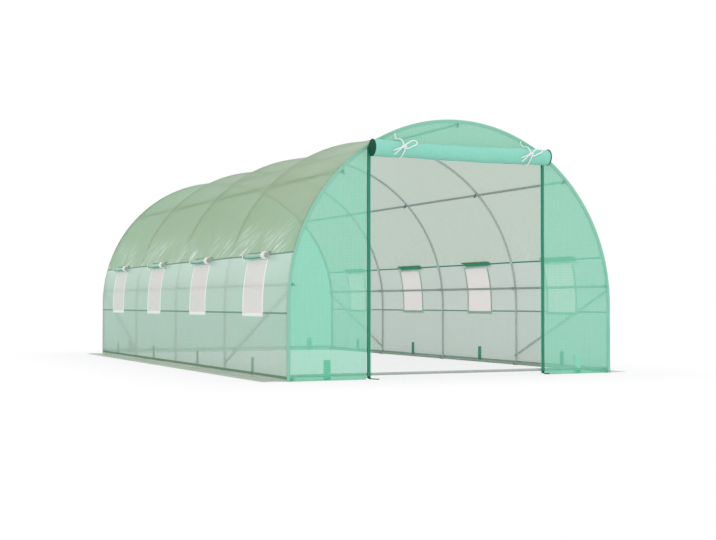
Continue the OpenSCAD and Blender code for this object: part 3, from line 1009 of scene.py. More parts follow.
@dataclass
class Cover:
    """The main cover in one sheet from flap to flap, with its seams, windows and borders."""

    tunnel: Tunnel
    form: CoverForm
    finishes: Finishes
    along_step: float = 16 * MM
    round_step: float = 48 * MM
    fine_step: float = 10 * MM
    crease_band: float = 0.34
    seam_width: float = 14 * MM
    seam_rise: float = 8 * MM
    foot_width: float = 20 * MM
    foot_rise: float = 30 * MM
    # Painted shadow: rise above the upper seam of the dark tape that stands for the shadow along each roll's
    # top
    roll_shadow_rise: float = 21 * MM
    border_width: float = 28 * MM
    # Painted shade: width, length, drop and shift of the dark tape inside at each roll, for the roll's shade
    # seen through the sheet; the length also serves the shadow line above the roll
    inner_shade_width: float = 38 * MM
    roll_shade_length: float = 0.54
    inner_shade_drop: float = -3 * MM
    inner_shade_shift: float = 36 * MM
    tape_lift: float = 1.4 * MM
    tape_swell: tuple[float, ...] = (0.2, 0.9, 1.0, 0.9, 0.2)
    tape_step: float = 30 * MM
    net_step: float = 30 * MM
    net_inset: float = 0.6 * MM
    net_belly: float = 7 * MM
    net_cell: float = 0.21
    net_seed: int = 21

    def windows(self, side: Side) -> list[tuple[float, float]]:
        """Y of both edges of each window along one side."""
        half = self.tunnel.window_width / 2
        return [(mid - half, mid + half) for mid in self.tunnel.window_middles(side)]

    def build_sheet(self) -> Object:
        """Builds the sheet with its window openings; roof, window strip, walls and flaps differ in colour,
        the roof's darker olive as painted shade and the flaps' paler colour as painted light.

        Returns:
            The sheet.
        """
        t, form = self.tunnel, self.form
        edges = [edge for side in Side for pair in self.windows(side) for edge in pair]
        y = stations([t.front, t.rear, *t.hoops, *edges], self.along_step)
        seam = form.down_to(t.seam_high)
        top, bottom = form.down_to(t.window_high), form.down_to(t.window_low)
        below, sewn = form.down_to(t.seam_low), form.down_to(self.foot_rise)
        upper = stations([0, seam - self.crease_band], self.round_step)
        band = stations([seam - self.crease_band, seam], self.fine_step)
        lower = stations([seam, top, bottom, below, sewn, form.wall_end], self.round_step)
        foot = stations([form.wall_end, form.fold_end], form.FOLD / 3)
        flap = stations([form.fold_end, form.reach], self.round_step)
        half = np.unique(np.round(np.concatenate([upper, band, lower, foot, flap]), 6))
        q = np.concatenate([-half[:0:-1], half])
        grid_q, grid_y = np.meshgrid(q, y, indexing="ij")
        mid_q, mid_y = (q[1:] + q[:-1]) / 2, (y[1:] + y[:-1]) / 2
        keep = np.ones((len(mid_q), len(mid_y)), dtype=bool)
        for side in Side:
            rows = (side.value * mid_q > top) & (side.value * mid_q < bottom)
            columns = np.any([(mid_y > a) & (mid_y < b) for a, b in self.windows(side)], axis=0)
            keep &= ~(rows[:, None] & columns[None, :])
        kind = np.searchsorted([seam, below, sewn], np.abs(mid_q))
        slots = np.broadcast_to(kind[:, None], keep.shape)[keep]
        faces = [f for f, k in zip(grid_faces(len(q), len(y)), keep.ravel()) if k]
        draft = MeshDraft()
        draft.add(form.at(grid_q, grid_y), joined(grid_y, grid_q), faces)
        draft.slots = slots.tolist()
        sheet = draft.build("main_cover", [
            self.finishes.roof, self.finishes.band, self.finishes.wall, self.finishes.skirt])
        names = [f"{s.word}_{part}" for s in Side
                 for part in ("lower_wall", "window_band", "roof_lower", "roof_upper", "ground_flap")]
        return settle(sheet, Slot.SIDE, *names)

    def tape(self, draft: MeshDraft, q: Sequence[float], y: Sequence[float], slot: int = 0,
             inside: bool = False) -> None:
        """Adds a tape that lies on the sheet.

        Args:
            draft: The mesh that gets it.
            q: Signed distances of its first and last edge.
            y: Places along the tunnel where it starts and ends.
            slot: Index of its material.
            inside: Whether it lies on the sheet's inner face.
        """
        lengthwise = abs(y[1] - y[0]) > abs(q[1] - q[0])
        swell = np.array(self.tape_swell) * self.tape_lift * (-1 if inside else 1)
        wide, long = (q, y) if lengthwise else (y, q)
        across, along = np.linspace(*sorted(wide), len(swell)), stations(sorted(long), self.tape_step)
        qs, ys = (across, along) if lengthwise else (along, across)
        grid_q, grid_y = np.meshgrid(qs, ys, indexing="ij")
        points = self.form.at(grid_q, grid_y, swell[:, None] if lengthwise else swell[None, :])
        uv = joined(grid_y, grid_q) if lengthwise else joined(grid_q, grid_y)
        draft.add_grid(points, uv, slot, flip=inside)

    def seam_and_shadow_lines(self) -> list[tuple[float, float, float]]:
        """Lines of the seams over the windows and between them, and of the painted shadow lines above the
        rolls.

        Returns:
            Signed distance from the ridge, start and end of each line.
        """
        t, lines = self.tunnel, []
        for side in Side:
            edges = [e for a, b in self.windows(side) for e in (a - self.border_width, b + self.border_width)]
            marks = [t.front, *edges, t.rear]
            high = side.value * self.form.down_to(t.seam_high)
            low = side.value * self.form.down_to(t.seam_low + self.seam_rise)
            lines.append((high, t.front, t.rear))
            lines += [(low, a, b) for a, b in zip(marks[::2], marks[1::2])]
            # Painted shadow: a dark seam-like tape above each roll stands for the shadow along the roll's top
            # edge
            above = side.value * self.form.down_to(t.seam_high + self.roll_shadow_rise)
            half = self.roll_shade_length / 2
            lines += [(above, mid - half, mid + half) for mid in t.window_middles(side)]
        return lines

    def build_seams(self) -> Object:
        """Builds the tapes of those seams and painted shadow lines, and of the seams where the ground flaps
        are sewn on.

        Returns:
            The tapes as one piece.
        """
        t, draft = self.tunnel, MeshDraft()
        half, foot = self.seam_width / 2, self.foot_width / 2
        for q, a, b in self.seam_and_shadow_lines():
            self.tape(draft, (q - half, q + half), (a, b))
        for side in Side:
            q = side.value * self.form.down_to(self.foot_rise)
            self.tape(draft, (q - foot, q + foot), (t.front, t.rear), 1)
        return settle(draft.build("cover_seams", [self.finishes.seam, self.finishes.foot_seam]), Slot.SIDE)

    def build_inner_shades(self) -> Object:
        """Builds the green tapes inside: one along the upper seam, and at each roll one that paints the
        roll's shade seen through the sheet.

        Returns:
            The tapes as one piece.
        """
        t, draft = self.tunnel, MeshDraft()
        half, head = self.seam_width / 2, self.inner_shade_width / 2
        for side in Side:
            seam = side.value * self.form.down_to(t.seam_high)
            self.tape(draft, (seam - half, seam + half), (t.front, t.rear), inside=True)
            # Painted shade: a dark green tape inside at each roll, for the roll and its shade seen through
            # the sheet
            q = side.value * self.form.down_to(t.seam_high - self.inner_shade_drop)
            for mid in t.window_middles(side):
                start = mid - side.value * self.inner_shade_shift - self.roll_shade_length / 2
                self.tape(draft, (q - head, q + head), (start, start + self.roll_shade_length), inside=True)
        return settle(draft.build("roll_shades_inside", [self.finishes.inner_seam_and_shade]), Slot.BINDING)

    def build_netting(self, side: Side) -> Object:
        """Builds the netting of one side's windows.

        Args:
            side: The side of the tunnel.

        Returns:
            The netting as one piece.
        """
        t, draft = self.tunnel, MeshDraft()
        belly = Ripple(self.net_seed + side.value)
        ends = [self.form.down_to(z) for z in (t.window_high, t.window_low)]
        q = side.value * stations(ends, self.net_step)
        for a, b in self.windows(side):
            y = stations([a, b], self.net_step)
            grid_q, grid_y = np.meshgrid(q, y, indexing="ij")
            across = (grid_y - a) / (b - a)
            down = (grid_q - q[0]) / (q[-1] - q[0])
            slack = 16 * across * (1 - across) * down * (1 - down)
            lift = slack * self.net_belly * belly.at(grid_q, grid_y, self.net_cell) - self.net_inset
            points = self.form.at(grid_q, grid_y, lift)
            draft.add_grid(points, joined(grid_y, grid_q), flip=side is Side.LEFT)
        piece = draft.build(f"{side.word}_window_netting", [self.finishes.netting])
        return settle(piece, Slot.NETTING, f"{side.word}_window_mesh")

    def build_borders(self) -> Object:
        """Builds the white tapes down both sides and along the foot of each window.

        Returns:
            The tapes as one piece.
        """
        t, draft, wide = self.tunnel, MeshDraft(), self.border_width
        for side in Side:
            top = side.value * self.form.down_to(t.window_high)
            foot = side.value * self.form.down_to(t.window_low)
            for a, b in self.windows(side):
                self.tape(draft, (top, foot), (a - wide, a))
                self.tape(draft, (top, foot), (b, b + wide))
                self.tape(draft, (foot, foot + side.value * wide), (a - wide, b + wide))
        return settle(draft.build("window_borders", [self.finishes.border]), Slot.NETTING)


def spiral(radius: float, core: float, pitch: float, start: float, per_turn: int = 28) -> Points:
    """Points of a sheet's section rolled from its outside inwards.

    Args:
        radius: Radius of the outermost turn.
        core: Radius at which the roll ends.
        pitch: Distance between turns.
        start: Angle in radians at which the outermost turn begins.
        per_turn: Points in a turn.

    Returns:
        Rows of radius and angle.
    """
    turns = (radius - core) / pitch
    count = int(turns * per_turn)
    angle = np.linspace(0, turns * 2 * math.pi, count)
    return joined(radius - pitch * angle / (2 * math.pi), start + angle)


@dataclass
class WindowRolls:
    """The rolled flaps above the windows of one side, with the straps that hold them."""

    tunnel: Tunnel
    finishes: Finishes
    side: Side
    pitch: float = 2.8 * MM
    core: float = 4 * MM
    columns: int = 28
    end_sides: int = 24
    strap_sides: int = 28
    seed: int = 40
    droop: float = 3 * MM
    # Radii of the outermost winding and of the ends, as shares of the solid's
    wound: float = 0.94
    end_share: float = 0.9
    end_depth: float = 2 * MM
    # Share by which the radius varies, and the size of that along the roll and, in radians, round it
    ripple: float = 0.14
    ripple_cell: tuple[float, float] = (0.07, 2.0)
    # Share by which the thin strap draws the roll in, and over what length
    grip: float = 0.14
    grip_length: float = 30 * MM
    hem: float = 17 * MM
    hem_from: float = -1.75
    strap_at: float = 0.226
    strap_width: float = 62 * MM
    strap_radius: float = 32 * MM
    thin_strap_at: float = 0.25
    thin_strap_width: float = 17 * MM
    thin_strap_tail: float = 20 * MM

    def section(self) -> tuple[Points, float, float]:
        """Reads the rolls' section from their solids.

        Returns:
            Middle of the rolls across the tunnel, as X and Z, their radius and half their length.
        """
        low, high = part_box(f"{self.side.word}_window_rolls")
        half = self.tunnel.window_middles(self.side)[0] - low.y
        return np.array([(low.x + high.x) / 2, (low.z + high.z) / 2]), (high.z - low.z) / 2, half

    def build(self) -> Object:
        """Builds the four rolled flaps, the free edge of each bound in dark green along its underside.

        Returns:
            The flaps as one piece.
        """
        centre, radius, half = self.section()
        shape = Ripple(self.seed + self.side.value)
        coil = spiral(radius * self.wound, self.core, self.pitch, self.hem_from)
        columns = np.linspace(-half, half, self.columns)
        draft = MeshDraft()
        length = np.concatenate([[0], np.cumsum(coil[:-1, 0] * np.diff(coil[:, 1]))])
        hem_rows = int(np.searchsorted(length, self.hem))
        for mid in self.tunnel.window_middles(self.side):
            y = mid + columns
            wave = 1 + self.ripple * shape.at(y[None, :], coil[:, 1:], self.ripple_cell)
            grip = np.exp(-(((columns + self.side.value * self.thin_strap_at) / self.grip_length) ** 2))
            r = coil[:, :1] * wave * (1 - self.grip * grip)
            x = centre[0] + self.side.value * r * np.cos(coil[:, 1:])
            z = centre[1] + r * np.sin(coil[:, 1:]) - self.droop * (1 - (columns / half) ** 2)
            faces = grid_faces(*x.shape)
            hem = hem_rows * (len(y) - 1)
            draft.add(joined(x, y, z), joined(y, length[:, None]), faces)
            draft.slots[-len(faces):] = [1] * hem + [0] * (len(faces) - hem)
            for end in (-1, 1):
                self._end(draft, centre, radius * self.end_share, mid + end * (half - self.end_depth))
        finishes = [self.finishes.flap, self.finishes.zip, self.finishes.roll_end]
        piece = draft.build(f"{self.side.word}_window_flaps", finishes)
        settle(piece, Slot.END, f"{self.side.word}_window_rolls")
        return piece

    def _end(self, draft: MeshDraft, centre: Points, radius: float, y: float) -> None:
        """Adds the close windings at one end of a roll, as a flat disc.

        Args:
            draft: The mesh that gets them.
            centre: X and Z of the roll's middle.
            radius: Radius of the outermost winding.
            y: Place of the end along the tunnel.
        """
        turn = np.linspace(0, 2 * math.pi, self.end_sides, endpoint=False)
        rim = joined(centre[0] + radius * np.cos(turn), y, centre[1] + radius * np.sin(turn))
        disc = np.vstack([rim, [[centre[0], y, centre[1]]]])
        draft.add(disc, disc[:, [0, 2]], fan_faces(len(rim)), slot=2)

    def build_straps(self) -> Object:
        """Builds the white straps round each roll: a broad one, and a thin one with a tail.

        Returns:
            The straps as one piece.
        """
        centre, radius, _ = self.section()
        draft, value = MeshDraft(), self.side.value
        for mid in self.tunnel.window_middles(self.side):
            # The broad strap's edges turn in to the roll; the thin one lies close on it
            wide = np.array([-0.5, -0.5, -0.44, -0.2, 0.2, 0.44, 0.5, 0.5]) * self.strap_width
            swell = np.array([0, 0.88, 0.97, 1, 0.98, 0.96, 0.88, 0]) * self.strap_radius
            swell[[0, -1]] = radius * 0.86
            self._ring(draft, mid + value * self.strap_at, wide, swell)
            thin = np.array([-0.5, -0.46, 0.46, 0.5]) * self.thin_strap_width
            hold = np.array([1.5, 5.0, 5.0, 1.5]) * MM + radius * 0.93
            self._ring(draft, mid - value * self.thin_strap_at, thin, hold)
            down = np.linspace(0, self.thin_strap_tail, 4)
            grid_z, grid_y = np.meshgrid(centre[1] - radius - down, mid - value * self.thin_strap_at + thin,
                                         indexing="ij")
            grid_x = centre[0] + value * (4 * MM + 0.3 * (centre[1] - radius - grid_z))
            draft.add_grid(joined(grid_x, grid_y, grid_z), joined(grid_y, grid_z))
        return settle(draft.build(f"{self.side.word}_flap_straps", [self.finishes.white]), Slot.NETTING)

    def _ring(self, draft: MeshDraft, y: float, across: Points, radii: Points) -> None:
        """Adds a strap's ring round a roll.

        Args:
            draft: The mesh that gets it.
            y: Its middle along the tunnel.
            across: Places of its rows about that middle.
            radii: Radius of each row.
        """
        centre = self.section()[0]
        angles = np.linspace(0, 2 * math.pi, self.strap_sides, endpoint=False)
        x = centre[0] + self.side.value * radii[:, None] * np.cos(angles)
        z = centre[1] + radii[:, None] * np.sin(angles) - self.droop
        uv = joined(angles * radii.max(), across[:, None])
        points = joined(x, (y + across)[:, None], z)
        draft.add_grid(points, uv, closed=True, flip=self.side is Side.RIGHT)


@dataclass
class EndPanels:
    """The end panels: two beside the doorway, the head over it, and the closed rear panel."""

    tunnel: Tunnel
    finishes: Finishes
    step: float = 32 * MM
    leg_points: int = 24
    arc_points: int = 120
    hem_points: int = 40
    binding_width: float = 28 * MM
    binding_proud: float = 0.8 * MM
    hem_height: float = 34 * MM
    # Depth of the billows, sizes of the broad and the small ones, and the depth of the small ones as a share
    billow: float = 5 * MM
    broad_cell: tuple[float, float] = (0.3, 0.42)
    small_cell: tuple[float, float] = (0.11, 0.16)
    small_share: float = 0.45
    # Distances from the arch and from the lower edge over which the billows grow
    taut_top: float = 0.12
    taut_foot: float = 0.1
    seed: int = 31

    @property
    def edge(self) -> float:
        """Half width of the panels, and their radius in the arch."""
        return self.tunnel.radius - SHEET_INSET

    def stretch(self, x0: float, x1: float, floor: float, y: float, outward: int, seed: int,
                draft: MeshDraft) -> None:
        """Adds one stretch of panel between two x values, up to the arch.

        Args:
            x0: Left edge.
            x1: Right edge.
            floor: Height of its lower edge.
            y: Place of its outer face.
            outward: Sign of Y on its outer side.
            seed: Seed of its billows.
            draft: The mesh that gets it.
        """
        t, edge = self.tunnel, self.edge
        first, last = (math.acos(np.clip(x / -edge, -1, 1)) for x in (x0, x1))
        x = -edge * np.cos(np.linspace(first, last, math.ceil((x1 - x0) / self.step) + 6))
        top = np.maximum(floor + 1 * MM, t.leg + np.sqrt(np.maximum(0, edge**2 - x**2)))
        rows = math.ceil((top.max() - floor) / self.step)
        share = np.linspace(0, 1, rows + 1)
        z = floor + share[:, None] * (top - floor)
        noise = Ripple(seed)
        swell = noise.at(x, z, self.broad_cell) + self.small_share * noise.at(x + 9, z, self.small_cell)
        slack = np.clip((top - z) / self.taut_top, 0, 1) * np.clip((z - floor) / self.taut_foot, 0, 1)
        grid_y = y - outward * SHEET_INSET + outward * self.billow * swell * slack
        draft.add_grid(joined(x, grid_y, z), joined(x, z), flip=outward > 0)

    def build_front(self) -> Object:
        """Builds the panels round the doorway.

        Returns:
            The panels as one piece.
        """
        t, draft = self.tunnel, MeshDraft()
        spans = [(-self.edge, -t.zip_half, 0.0), (t.zip_half, self.edge, 0.0),
                 (-t.zip_half, t.zip_half, t.door_top)]
        for i, (x0, x1, floor) in enumerate(spans):
            self.stretch(x0, x1, floor, t.front, -1, self.seed + i, draft)
        piece = draft.build("front_panels", [self.finishes.end])
        return settle(piece, Slot.END, "front_left_panel", "front_right_panel", "front_head_panel")

    def build_rear(self) -> Object:
        """Builds the closed rear panel.

        Returns:
            The panel.
        """
        draft = MeshDraft()
        self.stretch(-self.edge, self.edge, 0.0, self.tunnel.rear, 1, self.seed + 3, draft)
        return settle(draft.build("rear_panel_sheet", [self.finishes.end]), Slot.END, "rear_panel")

    def build_bindings(self) -> Object:
        """Builds the bindings round both arches and the hems along the foot of each end panel.

        Returns:
            The bindings and hems as one piece.
        """
        t, draft = self.tunnel, MeshDraft()
        swell = np.array([0.0, 2.0, 2.2, 1.6, 0.2]) * MM
        across = np.linspace(0, self.binding_width, len(swell))
        legs = np.linspace(0, t.leg, self.leg_points, endpoint=False)
        arc = np.linspace(0, math.pi, self.arc_points)
        for y, outward in ((t.front, -1), (t.rear, 1)):
            rows = []
            for r, place in zip(t.radius + self.binding_proud - across, y + outward * swell):
                rows.append(np.concatenate([
                    joined(-r, place, legs), joined(-r * np.cos(arc), place, t.leg + r * np.sin(arc)),
                    joined(r, place, legs[::-1])]))
            uv = joined(run_length(rows[0]), across[:, None])
            draft.add_grid(np.array(rows), uv, 1, flip=outward < 0)
        spans = [(t.front, -1, -t.radius, -t.zip_half), (t.front, -1, t.zip_half, t.radius),
                 (t.rear, 1, -t.radius, t.radius)]
        for y, outward, x0, x1 in spans:
            x = np.linspace(x0, x1, self.hem_points)
            z = np.linspace(1 * MM, self.hem_height, len(swell))[:, None]
            face = (y + outward * (swell - 0.5 * MM))[:, None]
            draft.add_grid(joined(x, face, z), joined(x, z), flip=outward > 0)
        return settle(draft.build("end_bindings", [self.finishes.hem, self.finishes.binding]), Slot.END)


@dataclass
class DoorRoll:
    """The door curtain, rolled up in front of the doorway's upper edge."""

    tunnel: Tunnel
    finishes: Finishes
    pitch: float = 8 * MM
    core: float = 16 * MM
    left_tape: float = 5 * MM
    right_tape: float = 10 * MM
    # How far the windings and the ends lie inside the solid, and how deep the ends lie in the roll
    wound_inset: float = 2 * MM
    end_inset: float = 3 * MM
    end_depth: float = 0.5 * MM
    droop: float = 3 * MM
    per_turn: int = 30
    columns: int = 90
    end_sides: int = 32
    seed: int = 52
    # Shares by which the radius varies, broadly and finely, and the sizes of that along the roll and, in
    # radians, round it
    bulge: float = 0.065
    bulge_cell: tuple[float, float] = (0.24, 1.5)
    crumple: float = 0.036
    crumple_cell: tuple[float, float] = (0.07, 5 / 6)
    # Share by which a cord draws the roll in, and over what length
    pull: float = 0.05
    pull_length: float = 50 * MM
    # The sheet between the doorway's upper edge and the roll: its rows, where it starts above that edge, and
    # how far it lies in front of the panel
    lead_rows: int = 4
    lead_rise: float = 6 * MM
    lead_out: float = 1.2 * MM

    def build(self) -> Object:
        """Builds the rolled curtain with the dark zip tapes on both its edges, and flat dark discs at its
        ends that show the wound tapes and paint the shade between the turns.

        Returns:
            The curtain.
        """
        t = self.tunnel
        low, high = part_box("door_roll")
        y0, z0 = (low.y + high.y) / 2, (low.z + high.z) / 2
        radius, half = (high.z - low.z) / 2, (high.x - low.x) / 2
        coil = spiral(radius - self.wound_inset, self.core, self.pitch, 0.0, self.per_turn)
        x = np.concatenate([[-half, -half + self.left_tape / 2],
                            np.linspace(-half + self.left_tape, half - self.right_tape, self.columns),
                            [half]])
        shape = Ripple(self.seed)
        pull = sum(np.exp(-(((x - at) / self.pull_length) ** 2)) for at in TIE_PLACES)
        bulge = self.bulge * shape.at(x, coil[:, 1:], self.bulge_cell)
        bulge = bulge + self.crumple * shape.at(x + 3, coil[:, 1:], self.crumple_cell)
        r = coil[:, :1] * (1 + bulge - self.pull * pull)
        sag = self.droop * (1 - (x / half) ** 2)
        # Angle 0 is the roll's back; the sheet comes down there and goes under, forward and up
        y = y0 + r * np.cos(coil[:, 1:])
        z = z0 - r * np.sin(coil[:, 1:]) - sag
        lead_z = np.linspace(t.door_top + self.lead_rise, z0, self.lead_rows, endpoint=False)[:, None]
        points = np.concatenate([joined(x, t.front - self.lead_out, lead_z), joined(x, y, z)])
        length = run_length(points[:, len(x) // 2])
        faces = grid_faces(len(points), len(x))
        columns = len(x) - 1
        draft = MeshDraft()
        draft.add(points, joined(x, length[:, None]), faces)
        draft.slots = [int(i % columns in (0, 1, columns - 1)) for i in range(len(faces))]
        # Each end is a flat disc in the dark zip edge tape: partly the wound zip tapes, partly painted shade
        # for the gaps between the turns
        turn = np.linspace(0, 2 * math.pi, self.end_sides, endpoint=False)
        for end in (-1, 1):
            rim = (radius - self.end_inset) * joined(0, np.cos(turn), np.sin(turn))
            disc = np.vstack([rim, np.zeros((1, 3))]) + (end * (half - self.end_depth), y0, z0)
            draft.add(disc, disc[:, 1:], fan_faces(len(rim)), slot=1)
        piece = draft.build("door_curtain", [self.finishes.curtain, self.finishes.zip_edge_and_roll_end_shade])
        settle(piece, Slot.END, "door_roll")
        return piece


@dataclass
class ZipBindings:
    """The zips' bindings up both edges of the doorway, with a coil of teeth along their middle."""

    tunnel: Tunnel
    finishes: Finishes
    width: float = 45 * MM
    dark_from: float = 6 * MM
    dark_to: float = 35 * MM
    edge: float = 5 * MM
    foot: float = 12 * MM
    step: float = 30 * MM
    sway: float = 1.6 * MM
    sway_cell: float = 0.3
    seed: int = 61
    tail: float = 65 * MM
    # The coil of teeth: how far it lies in front, and where it starts above the ground and ends below the top
    coil_out: float = 4.6 * MM
    coil_low: float = 30 * MM
    coil_high: float = 10 * MM
    coil_points: int = 40

    def build(self) -> Object:
        """Builds both bindings, dark along their middle, with the loose ends of their tapes.

        Returns:
            Both bindings as one piece.
        """
        t, draft = self.tunnel, MeshDraft()
        centre = (self.dark_from + self.dark_to) / 2
        across = np.array([0, self.dark_from / 2, self.dark_from, self.dark_from + self.edge, centre,
                           self.dark_to - self.edge, self.dark_to, self.width])
        swell = np.array([0.2, 1.4, 1.8, 3.4, 4.2, 3.4, 1.8, 0.6]) * MM
        shade = [2, 2, 1, 0, 0, 1, 2]
        sway = Ripple(self.seed)
        for side in Side:
            z = stations([self.foot, t.door_top], self.step)
            x = side.value * (t.zip_half - across)[:, None]
            x = x + self.sway * sway.at(z, side.value, self.sway_cell)
            points, uv = joined(x, (t.front - swell)[:, None], z), joined(z, across[:, None])
            for row, slot in enumerate(shade):
                draft.add_grid(points[row:row + 2], uv[row:row + 2], slot, flip=side is Side.RIGHT)
        x0, y0 = t.zip_half - centre, t.front
        # The left one's end lies on the ground; the right one's turns into the hem
        self._foot(draft, [(-x0, y0 - 4 * MM, 26 * MM), (-x0, y0 - 9 * MM, 12 * MM),
                           (-x0 + 14 * MM, y0 - 24 * MM, 7 * MM), (-x0 + self.tail, y0 - 60 * MM, 4.5 * MM)],
                   (0.25, -0.6, 0.5))
        self._foot(draft, [(x0, y0 - 4.4 * MM, 34 * MM), (x0 + 2 * MM, y0 - 4.6 * MM, 18 * MM),
                           (x0 + 16 * MM, y0 - 5 * MM, 9 * MM), (x0 + self.tail, y0 - 5 * MM, 7 * MM)],
                   (0.0, 0.0, 0.45))
        finishes = [self.finishes.zip, self.finishes.zip_edge_and_roll_end_shade, self.finishes.hem]
        return settle(draft.build("zip_bindings", finishes), Slot.BINDING, "door_zips")

    def _foot(self, draft: MeshDraft, points: Sequence[Sequence[float]], end_width: Sequence[float]) -> None:
        """Adds the loose end of a zip's tape.

        Args:
            draft: The mesh that gets it.
            points: Points along its middle, from the foot of the binding.
            end_width: Direction of its width at its end, as a share of its half width.
        """
        route = smooth_route(points, 6)
        half = (self.dark_to - self.dark_from) / 2 * np.linspace(1, 0.55, len(route))
        lay = np.linspace(0, 1, len(route))[:, None]
        out = np.array([1.0, 0.0, 0.0]) * (1 - lay) + np.array(end_width) * lay
        sides = np.stack([route - out * half[:, None], route + out * half[:, None]])
        along = np.linspace(0, self.tail, len(route))
        draft.add_grid(sides, joined(along, np.array([[0.0], [30 * MM]])), 1)

    def coil_lines(self) -> list[Points]:
        """Finds the middle line of each zip's coil.

        Returns:
            Points of both lines.
        """
        t = self.tunnel
        x = t.zip_half - (self.dark_from + self.dark_to) / 2
        z = np.linspace(self.coil_low, t.door_top - self.coil_high, self.coil_points)
        return [joined(side.value * x, t.front - self.coil_out, z) for side in Side]


@dataclass
class AnchorStraps:
    """The green straps inside the cover that hold it down."""

    tunnel: Tunnel
    finishes: Finishes
    width: float = 60 * MM
    side_inset: float = 6 * MM
    end_inset: float = 1 * MM
    half_depth: float = 1.2 * MM
    around: int = 48
    # Power that makes a strap's section long and square at its ends
    square: float = 0.35

    def build(self) -> None:
        """Builds the straps along the sides and at both ends."""
        t = self.tunnel
        side_low, side_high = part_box("side_anchor_straps")
        draft = MeshDraft()
        for side in Side:
            face = side.value * (side_high.x - self.side_inset)
            for mid in t.window_middles(side):
                self._strap(draft, (face, mid), (0, 1), side_low.z, side_high.z, -side.value)
        settle(draft.build("side_straps", [self.finishes.strap]), Slot.STRAP, "side_anchor_straps")
        end_low, end_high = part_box("end_anchor_straps")
        draft = MeshDraft()
        across = end_high.x - self.width / 2
        for y, inward in ((end_low.y + self.end_inset, 1), (end_high.y - self.end_inset, -1)):
            for x in (-across, across):
                self._strap(draft, (x, y), (1, 0), end_low.z, end_high.z, inward)
        # The end straps take the green webbing painted lighter: painted light
        settle(draft.build("end_straps", [self.finishes.strap_painted_lighter]), Slot.STRAP, "end_anchor_straps")

    def _strap(self, draft: MeshDraft, at: tuple[float, float], run: tuple[int, int], low: float, high: float,
               inward: int) -> None:
        """Adds one strap, a loop sewn flat at its upper end.

        Args:
            draft: The mesh that gets it.
            at: X and Y of the strap's middle on the sheet's inner face.
            run: X and Y of the strap's width direction.
            low: Height of its lower end.
            high: Height of its upper end.
            inward: Sign of the direction into the tunnel.
        """
        t = np.linspace(0, 2 * math.pi, self.around, endpoint=False)
        up, out = (np.sign(v) * np.abs(v) ** self.square for v in (np.cos(t), np.sin(t)))
        z = (low + high) / 2 + (high - low) / 2 * up
        across = np.array([-0.5, -0.48, 0.0, 0.48, 0.5]) * self.width
        thin = np.array([0.6, 1, 1, 1, 0.6])
        depth = inward * self.half_depth * out * thin[:, None]
        x = at[0] + run[0] * across[:, None] + run[1] * depth
        y = at[1] + run[1] * across[:, None] + run[0] * depth
        draft.add_grid(joined(x, y, z), joined(z, across[:, None]), closed=True)


@dataclass
class TieCords:
    """The two white cords that hold the rolled door, each tied in a bow."""

    finishes: Finishes
    diameter: float = 9 * MM
    sides: int = 12
    route_steps: int = 5
    # Points of each cord about the roll's middle, in millimetres: across, along Y, up
    bow_route: tuple[tuple[float, float, float], ...] = (
        (-10, 69, 132), (-14, 62, 112), (-16, 42, 92), (-14, 14, 80), (-10, -20, 78), (-6, -51, 62),
        (-4, -70, 40), (-1, -79, 18), (8, -83, 0), (22, -83, -5), (40, -82, 0), (64, -80, 11), (92, -76, 23),
        (113, -72, 34), (121, -67, 47), (115, -62, 60), (98, -60, 65), (76, -62, 60), (52, -69, 50),
        (28, -79, 37), (6, -90, 23), (-16, -92, 10), (-44, -87, -4), (-72, -83, -16), (-96, -82, -26))
    tail_route: tuple[tuple[float, float, float], ...] = (
        (-14, 76, 17), (-14, 79, -4), (-13, 73, -30), (-12, 55, -54), (-11, 28, -71), (-10, -8, -77),
        (-8, -43, -67), (-5, -66, -46), (0, -80, -25), (4, -90, -8), (1, -99, 6), (-12, -104, 11),
        (-26, -101, 3), (-40, -93, -13), (-56, -85, -28), (-72, -77, -43), (-86, -70, -55))
    knot_at: tuple[float, float, float] = (-3, -86, 6)
    knot_size: float = 6 * MM
    knot_points: int = 73
    knot_sides: int = 10
    # Radius of the cord in the knot, which is drawn tight, as a share of its diameter
    knot_radius: float = 0.46

    def build(self) -> None:
        """Builds the cords and their knots."""
        centre = middle("door_roll")
        for side, place in zip(Side, TIE_PLACES):
            origin = np.array([place, centre[1], centre[2]])
            knot = self._knot(f"{side.word}_bow_knot", origin + np.array(self.knot_at) * MM)
            for part, route, extra in (("bow", self.bow_route, [knot]), ("tail", self.tail_route, [])):
                path = smooth_route(origin + np.array(route) * MM, self.route_steps)
                piece = self._cord(f"{side.word}_{part}_cord", path)
                settle(piece, Slot.CORD, f"{side.word}_tie_{part}")

    def _cord(self, name: str, path: Points) -> Object:
        """Builds one cord with flat ends.

        Args:
            name: Name of the piece.
            path: Points of its centreline.

        Returns:
            The cord.
        """
        rings, uv = tube(path, self.diameter / 2, self.sides)
        draft = MeshDraft()
        draft.add_grid(rings, uv, closed=True)
        for ring, point, flip in ((rings[0], path[0], True), (rings[-1], path[-1], False)):
            cap = np.vstack([ring, point[None, :]])
            draft.add(cap, np.zeros((len(cap), 2)), [f[::-1] if flip else f for f in fan_faces(self.sides)])
        return draft.build(name, [self.finishes.cord])

    def _knot(self, name: str, at: Points) -> Object:
        """Builds an overhand knot drawn tight.

        Args:
            name: Name of the piece.
            at: Its middle.

        Returns:
            The knot.
        """
        t = np.linspace(0, 2 * math.pi, self.knot_points)
        path = joined(np.sin(t) + 2 * np.sin(2 * t), -1.1 * np.sin(3 * t), np.cos(t) - 2 * np.cos(2 * t))
        rings, uv = tube(at + path * self.knot_size, self.diameter * self.knot_radius, self.knot_sides)
        draft = MeshDraft()
        draft.add_grid(rings, uv, closed=True)
        return settle(draft.build(name, [self.finishes.cord]), Slot.CORD)


class Form(Enum):
    """Small forms that are repeated along lines or at points."""

    STITCH = "stitch"
    BAND = "band"
    BOLT = "bolt"


